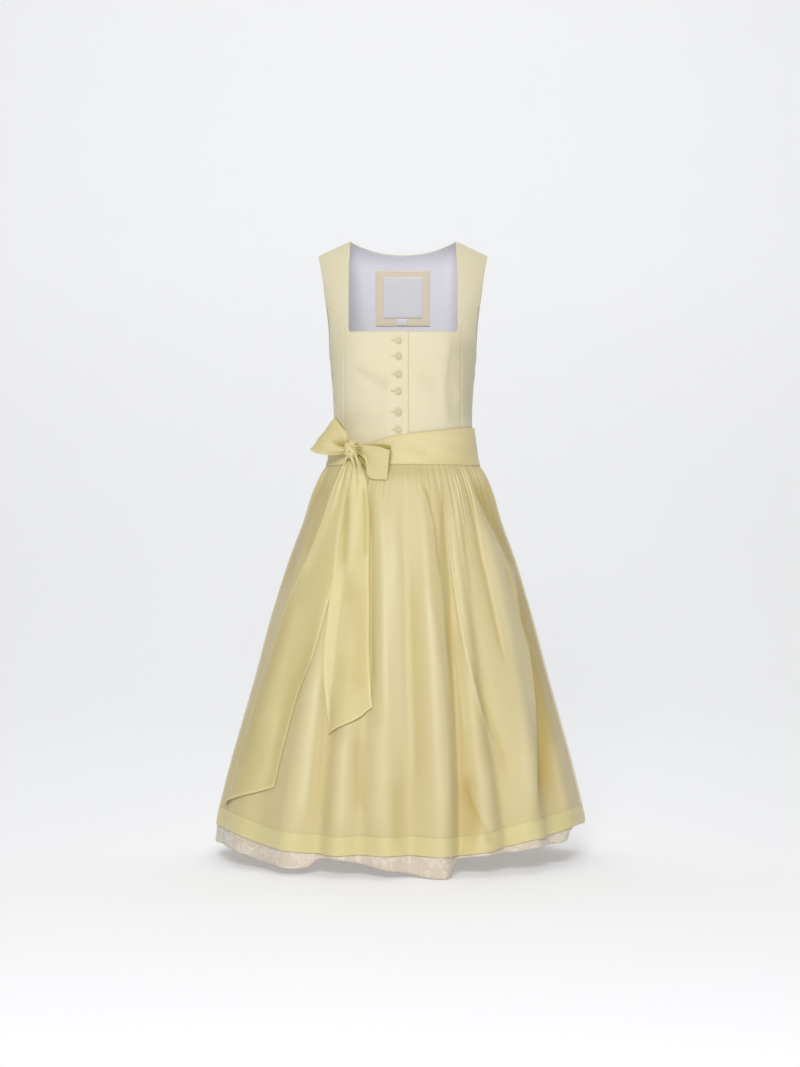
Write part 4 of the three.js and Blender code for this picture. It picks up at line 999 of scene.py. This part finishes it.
def add_apron():
    angle = np.linspace(-APRON_EDGE, APRON_EDGE, 520)[None]
    share = np.concatenate([np.linspace(0, 0.2, 50), np.linspace(0.21, 1, 62)])[:, None]
    level = mix(BAND_BOTTOM + 4, hem_of(angle) + HEM_BAND - 1, share)
    points, creased, fine = apron_place(angle, level)
    # The apron's painted shade, darker between the gathers too.
    tone = fold_painted_shade(fold_depth(angle, level), creased, fine - 0.5 * gather_rise(level))
    uv = cloth_uv(np.radians(angle) * APRON_ROUND, -level)
    piece = add_piece("apron_organza", grid_mesh("apron", points[::-1], uv[::-1], tone=tone[::-1]), ORGANZA,
                      ["apron"])
    share = np.concatenate([[0], np.linspace(0.02, 0.98, 14), [1]])[:, None]
    level = mix(hem_of(angle) + HEM_BAND, hem_of(angle), share)
    creased = drape_depth(angle, level)
    swell = 0.75 * np.sin(np.pi * np.clip(share, 0.04, 0.96)) ** 0.4
    points = body_point(angle, level, APRON_OUT + creased + swell)
    tone = fold_painted_shade(fold_depth(angle, level), creased)
    uv = cloth_uv(np.radians(angle) * APRON_ROUND, -level)
    hem = add_piece("apron_hem_band", grid_mesh("apron_hem", points[::-1], uv[::-1], tone=tone[::-1]),
                    HEM_CLOTH, thickness=0.3)


# Sash band

BAND_CREASES = [
    ([(404, 446), (415, 449), (427, 456)], 4.5, -0.9), ([(404, 441), (424, 445), (446, 452)], 5, 0.5),
    ([(424, 464), (446, 462), (470, 463)], 3, -0.6), ([(430, 437), (455, 440), (478, 439)], 4, 0.4),
    ([(392, 453), (402, 456), (418, 462)], 3.5, 0.7), ([(446, 446), (462, 452), (480, 452)], 5, -0.5),
]
BACK_BAND_CREASES = [
    (100, 0.3, 175, 0.42, 0.07, -1.0), (120, 0.62, 200, 0.66, 0.09, 0.9), (150, 0.25, 232, 0.3, 0.08, 0.8),
    (185, 0.5, 262, 0.44, 0.08, -1.1), (215, 0.75, 290, 0.7, 0.08, 0.7), (92, 0.78, 140, 0.7, 0.08, -0.7),
    (240, 0.2, 300, 0.26, 0.07, -0.8),
]


def add_band():
    angle = np.arange(-180, 180, 360 / 300)[None]
    up = np.concatenate([[0, 0.015, 0.035], np.linspace(0.06, 0.94, 24), [0.965, 0.985, 1.0]])[:, None]
    level = mix(BAND_BOTTOM, band_top(angle), up)
    facing = smooth(np.cos(np.radians(angle)), 0.0, 0.2)
    depth = creases(angle, level, BAND_CREASES) * facing
    for start, low, end, high, width, out in BACK_BAND_CREASES:
        share = (angle % 360 - start) / (end - start)
        depth += out * smooth(share, 0, 0.25) * (1 - smooth(share, 0.75, 1)) * np.exp(
            -((up - mix(low, high, np.clip(share, 0, 1))) / width) ** 2)
    aside = np.radians(wrap(angle - KNOT["angle"])) * 125
    over = level - KNOT["level"]
    away = np.hypot(aside, over)
    fan = np.cos(9 * np.arctan2(over, np.abs(aside) + 2) + 0.6)
    depth += 1.2 * fan * bell(away / 34) * smooth(away, 6, 16)
    rolled = -1.2 * (bell(up / 0.02) + bell((1 - up) / 0.02))
    points = body_point(angle, level, 4.6 + 0.9 * np.sin(np.pi * up) + depth + rolled)
    uv = cloth_uv(np.radians(angle + 180) * BAND_ROUND, -level)
    # Painted shade: the band darker in its creases.
    tone = np.clip(0.8 + depth / 6, 0, 1)
    add_cloth("sash_band", "silk", (points, uv, tone), SASH, 1.2, ring=True)


# Bow

def spline_points(stations, share):
    """A smooth line through stations, at shares from 0 to 1."""
    stations = np.asarray(stations, float)
    padded = np.concatenate([2 * stations[:1] - stations[1:2], stations, 2 * stations[-1:] - stations[-2:-1]])
    place = np.clip(share, 0, 1) * (len(stations) - 1)
    i = np.minimum(place.astype(int), len(stations) - 2)
    t = (place - i)[:, None]
    a, b, c, d = (padded[i + k] for k in range(4))
    return 0.5 * (2 * b + (c - a) * t + (2 * a - 5 * b + 4 * c - d) * t ** 2
                  + (3 * b - a - 3 * c + d) * t ** 3)


KNOT_CENTRE = body_point(KNOT["angle"], KNOT["level"], BAND_OUT + KNOT["deep"])
KNOT_NORMAL = body_point(KNOT["angle"], KNOT["level"], 1.0) - body_point(KNOT["angle"], KNOT["level"])
KNOT_NORMAL = unit(KNOT_NORMAL * (1, 1, 0))
KNOT_ASIDE = np.array([-KNOT_NORMAL[1], KNOT_NORMAL[0], 0])


def loop_grid(turn, stations, folds):
    """A loop's ribbon, from the knot out to its fold in front and back again behind."""
    along = np.array([math.cos(math.radians(turn)), math.sin(math.radians(turn)), 0])
    off = np.array([along[1], -along[0], 0])
    if off[1] > 0:
        off = -off
    u = np.linspace(0, 1, 110)[:, None]
    v = np.linspace(0, 1, 60)[None]
    edges = []
    for first in (0, 3):
        places = [KNOT_CENTRE + along * row[first] * (0.75 if i in (0, 6) else 1) + UP * row[first + 1]
                  + off * row[first + 2] for i, row in enumerate(stations)]
        edges.append(spline_points(places, u[:, 0]))
    upper, lower = edges
    points = lower[:, None] * (1 - v[..., None]) + upper[:, None] * v[..., None]
    out = 2 * np.minimum(u, 1 - u)
    in_front = u < 0.5
    body = np.minimum(1, 9 * np.minimum(v + 0.01, 1.01 - v))
    depth = np.zeros(np.broadcast(u, v).shape)
    for place, below, above, high, reach in folds:
        width = np.where(v < place, below, above)
        ends = smooth(out, -0.02, 0.1) * (1 - smooth(out, 0.45 * reach, reach))
        depth += high * ends * bell((v - place) / width)
    depth *= body * np.where(in_front, 1, 0.45)
    ripple = 0.5 * np.sin(2 * np.pi * (2.2 * v + 0.8 * u)) * body * np.sin(np.pi * u)
    puff = 2.6 * np.sin(np.pi * v) * np.sin(np.pi * np.clip(2 * u, 0, 1)) * (1 - smooth(u, 0.42, 0.6))
    du = np.gradient(points, axis=0)
    dv = np.gradient(points, axis=1)
    normal = unit(np.cross(dv, du) * (1 if along[0] < 0 else -1))
    points = points + normal * (depth + ripple + puff)[..., None]
    uv = cloth_uv(u * 150, v * 70)
    # Painted shade: darker in the creases and near the knot, and much darker on the layer behind the fold.
    tone = np.clip(0.92 + depth / 5 - 0.3 * (1 - smooth(out, 0.0, 0.2)) - 0.9 * (u > 0.53), 0, 1)
    if along[0] > 0:
        points, uv, tone = points[:, ::-1], uv[:, ::-1], tone[:, ::-1]
    return points, uv, tone


def knot_grid():
    """The knot: a wrapped strand of silk with creases running over it."""
    lat = np.linspace(-88, 88, 48)[:, None]
    lon = np.arange(0, 360, 4.5)[None]
    a, b = np.radians(lat), np.radians(lon)
    x, y, z = np.cos(a) * np.cos(b), np.cos(a) * np.sin(b), np.sin(a)
    lean = 0.35 * z
    turn = np.arctan2(z, x) + 0.5 * lean
    crease = (0.09 * np.abs(np.sin(4.5 * turn + 0.4)) ** 0.6 + 0.05 * np.sin(9 * turn + 1.3 + 2 * y)
              + 0.03 * np.sin(17 * turn + 3 * y))
    crease = crease * (0.4 + 0.6 * np.clip(np.hypot(x, z) * 1.6, 0, 1))
    size = 0.93 + crease
    waist = 1 - 0.22 * bell(z / 0.35)
    points = (KNOT_CENTRE + KNOT_ASIDE * (x * size * KNOT["wide"] * waist)[..., None]
              + KNOT_NORMAL * (y * size * KNOT["deep"])[..., None]
              + UP * (z * size * KNOT["high"])[..., None])
    uv = cloth_uv(lon * 0.3, lat * 0.4)
    # Painted shade: the knot darker in the hollows between its creases.
    return points, uv, np.clip(0.35 + crease * 5, 0, 1)


def strand(name, path, wide, thick, ridges, twist, taper):
    """A flattened strand of gathered silk along a path of (aside, up, out) places on the knot, which ends at
    taper times its width."""
    share = np.linspace(0, 1, 56)
    line = spline_points(path, share)
    centre = KNOT_CENTRE + line @ np.array([KNOT_ASIDE, UP, KNOT_NORMAL])
    along = unit(np.gradient(centre, axis=0))
    out = unit(KNOT_NORMAL - along * (along @ KNOT_NORMAL)[:, None])
    side = np.cross(along, out)
    around = np.linspace(0, 2 * np.pi, 40, endpoint=False)
    slim = ((0.72 + 0.28 * np.sin(np.pi * share)) * mix(1, taper, smooth(share, 0.3, 1)))[:, None]
    ridge = 1 + 0.14 * np.cos(2 * ridges * around + twist * share[:, None] * 6) * (np.sin(around) > -0.3)
    points = (centre[:, None] + side[:, None] * (np.cos(around) * slim * wide)[..., None]
              + out[:, None] * (np.sin(around) * ridge * slim * thick)[..., None])
    # Painted shade: each strand lighter on its outer crest and ridges, dark on its sides and underneath.
    crest = np.clip(np.sin(around), 0, 1) ** 0.7
    tone = np.clip(0.1 + 0.75 * crest + (ridge - 1) * 3, 0, 1) + 0 * points[..., 0]
    uv = cloth_uv(np.linspace(0, 40, len(share))[:, None], around * 4)
    return grid_mesh(name, points, uv, ring=True, tone=tone)


# Strands of the knot and under it: path of aside, up and out places, half width, half thickness, number of
# ridges and twist
KNOT_WRAPS = [
    ([(-11, 12, -3), (-6, 9, 7), (2, 3, 10.5), (9, -5, 7), (12, -10, -2)], 4.4, 2.6, 3, 0.4),
    ([(-12, -1, -2), (-7, 2, 8), (0, 7, 9.5), (8, 11, 5), (11, 13, -3)], 3.4, 2.2, 3, -0.5),
    ([(-4, -16, -2), (-4, -9, 8), (-2, -1, 10.8), (1, 8, 8), (4, 15, -1)], 3.8, 2.3, 2, 0.7),
    ([(-9, 15, 0), (-4, 17, 5), (3, 14, 8), (8, 8, 8), (12, 3, 2)], 2.2, 1.6, 2, 0.6),
    ([(-12, -6, 0), (-8, -8, 7), (-2, -8, 9), (5, -10, 6), (9, -14, 0)], 2.8, 1.9, 2, -0.4),
]
TAIL_STRANDS = [
    ([(6, -4, 7), (13, -10, 8), (18, -24, 8), (23, -38, 8), (28, -50, 8)], 2.6, 1.8, 2, 0.3),
    ([(3, -8, 6), (5, -16, 6), (8, -26, 5), (10, -38, 1)], 3.2, 1.8, 2, 0.3),
    ([(-6, -9, 4), (-9, -17, 3), (-13, -27, 0)], 2.8, 1.5, 2, -0.3),
]


def add_bow():
    for word, (turn, stations), folds in (("left", LOOP_LEFT, LEFT_LOOP_FOLDS),
                                          ("right", LOOP_RIGHT, RIGHT_LOOP_FOLDS)):
        add_cloth(f"bow_loop_{word}", "silk", loop_grid(turn, stations, folds), LOOP, 0.8)
    points, uv, tone = knot_grid()
    add_piece("sash_knot_silk", grid_mesh("sash_knot", points, uv, ring=True, tone=tone), SASH,
              ["sash_knot"])
    for word, strands, taper in (("knot_wrap", KNOT_WRAPS, 1.0), ("tail_pleat", TAIL_STRANDS, 0.3)):
        for i, row in enumerate(strands):
            add_piece(f"{word}_{i + 1}", strand(f"{word}_{i + 1}", *row, taper), SASH)


# Tails

LONG_CREASES = [
    ([(343, 469), (339, 486), (335, 501), (320, 539), (304, 580)], 5, 1.6),
    ([(350, 478), (348, 500), (344, 530), (336, 570)], 3, 5, -1.2),
    ([(336, 474), (322, 505), (300, 560)], 4, -1.4),
    ([(306, 600), (288, 660), (262, 740)], 9, 0.8), ([(290, 600), (262, 700), (240, 780)], 8, -0.8),
    ([(314, 640), (292, 700), (272, 770)], 5, -0.6), ([(281, 705), (270, 765), (258, 790)], 5, 0.8),
]
SHORT_CREASES = [
    ([(350, 479), (349, 500.7), (346, 536), (343, 570)], 4, -1.7),
    ([(358.6, 462), (359, 478), (357, 500.7), (354, 540), (351, 580)], 5, 1.4),
    ([(366, 486), (368, 520), (367, 560)], 3.5, -2.0), ([(352, 478), (350, 500)], 3, 1.4),
    ([(338, 560), (334, 640), (332, 700)], 7, 1.2), ([(358, 580), (358, 650), (356, 700)], 8, -1.0),
    ([(347, 600), (346, 660)], 7, 0.8),
]


def tail_grid(table, out, over, low_tone, rows_of_creases, rows, columns):
    """A tail's grid, which lies close on the apron: out is its distance low down, over what it gains at the
    gathers and the knot, low_tone the painted shade that its lower part goes down to."""
    keyed = [(i / (len(table) - 1), *row) for i, row in enumerate(table)]
    down = np.linspace(0, 1, rows)[:, None]
    across = np.concatenate([[0, 0.012, 0.03], np.linspace(0.05, 0.95, columns - 6), [0.97, 0.988, 1]])[None]
    a, za, b, zb = (curve(keyed, column)(down) for column in (1, 2, 3, 4))
    angle = mix(a, b, across)
    level = mix(za, zb, across)
    depth = creases(angle, level, rows_of_creases)
    depth += 1.8 * bell((-level - 397) / 60) * np.cos(2 * np.pi * 2.6 * across + 0.5) * np.sin(
        np.pi * across) ** 0.5
    edge = np.minimum(across, 1 - across) * (b - a) * DEGREE * 0.32 * -level
    hem = np.maximum(1 - smooth(edge, 4.5, 5.5), down > 1 - 5 / np.ptp(level[:, 0]))
    drape = drape_depth(angle, level)
    bridge = 0.4 * np.clip(6 - fold_depth(angle, level), 0, 14) * smooth(-level, 480, 620)
    lift = (0.9 + bridge) * np.sin(np.pi * across) + over * (1 - smooth(-level, 440, 600))
    own = out + lift + depth + 0.85 * drape + 0.4 * hem
    carried = APRON_OUT + drape + gathered(angle, level, *APRON_GATHERS) + TAIL_GAP
    points = body_point(angle, level, np.maximum(own, carried))
    wide = (b - a) * DEGREE * 0.3 * -level
    uv = cloth_uv(wide * (across - 0.5), -level)
    # Painted shade: darker lower down and in the creases; lighter along the doubled hem.
    tone = np.clip(mix(0.8, low_tone, smooth(down, 0.3, 0.75)) + depth / 5 + 0.25 * hem, 0, 1)
    return points[::-1], uv[::-1], tone[::-1]


def add_tails():
    for word, table, out, over, low_tone, rows_of_creases, rows in (
            ("long", LONG_TAIL, 3.9, 2.4, 0.72, LONG_CREASES, 200),
            ("short", SHORT_TAIL, 5.1, 3.9, 0.8, SHORT_CREASES, 160)):
        grid = tail_grid(table, out, over, low_tone, rows_of_creases, rows, 70)
        add_cloth(f"sash_tail_{word}", "silk", grid, TAIL, 0.6)


add_skirt()
add_apron()
add_band()
add_bow()
add_tails()


# Studio

def add_camera():
    data = bpy.data.cameras.new("photo_camera")
    data.lens = CAMERA["lens"]
    data.sensor_width = CAMERA["sensor"]
    data.clip_end = 100
    camera = add_object("photo_camera", data)
    camera.location = Vector((CAMERA["x"], CAMERA["y"], CAMERA["z"])) * MM
    camera.rotation_euler = (math.radians(90), 0, 0)
    scene.camera = camera


def add_studio():
    turn = np.radians(np.linspace(0, 90, 24))
    profile = [(-6.0, FLOOR_Z * MM)]
    profile += [(2.2 + 1.6 * math.sin(t), FLOOR_Z * MM + 1.6 * (1 - math.cos(t))) for t in turn]
    profile += [(3.8, 6.0)]
    points = np.array([[(x, y, z) for x in (-9.0, -3.0, 3.0, 9.0)] for y, z in profile]) / MM
    mesh = grid_mesh("studio", points, points[..., :2] * MM)
    shader = Shader("studio_paper", Roughness=0.9, Emission_Color=(1, 1, 1, 1), Emission_Strength=0.285)
    place = shader.node("TexCoord").outputs["Object"]
    tint = shader.between(shader.noise(place, 2.0), (225, 226, 229), (227, 228, 230))
    mesh.materials.append(shader.give(Base_Color=tint))
    add_object("studio", mesh)


def add_light(name, place, aim, size, power):
    data = bpy.data.lights.new(name, "AREA")
    data.shape = "RECTANGLE"
    data.size, data.size_y = size
    data.energy = power
    light = add_object(name, data)
    light.location = place
    light.rotation_euler = (Vector(aim) - Vector(place)).to_track_quat("-Z", "Y").to_euler()


add_camera()
add_studio()
add_light("key", (-0.2, -3.7, 1.15), (0, 0, -0.35), (1.3, 1.1), 94)
add_light("top", (0, 0.3, 3.2), (0, 0.3, -1), (3.6, 3.2), 30)
add_light("wall", (0, 0.9, 2.4), (0, 3.9, -0.4), (6.0, 0.8), 30)
world = bpy.data.worlds.new("studio")
scene.world = world
world.use_nodes = True
world.node_tree.nodes["Background"].inputs["Color"].default_value = (1, 1, 1, 1)
world.node_tree.nodes["Background"].inputs["Strength"].default_value = 0.18
scene.view_settings.view_transform = "Standard"
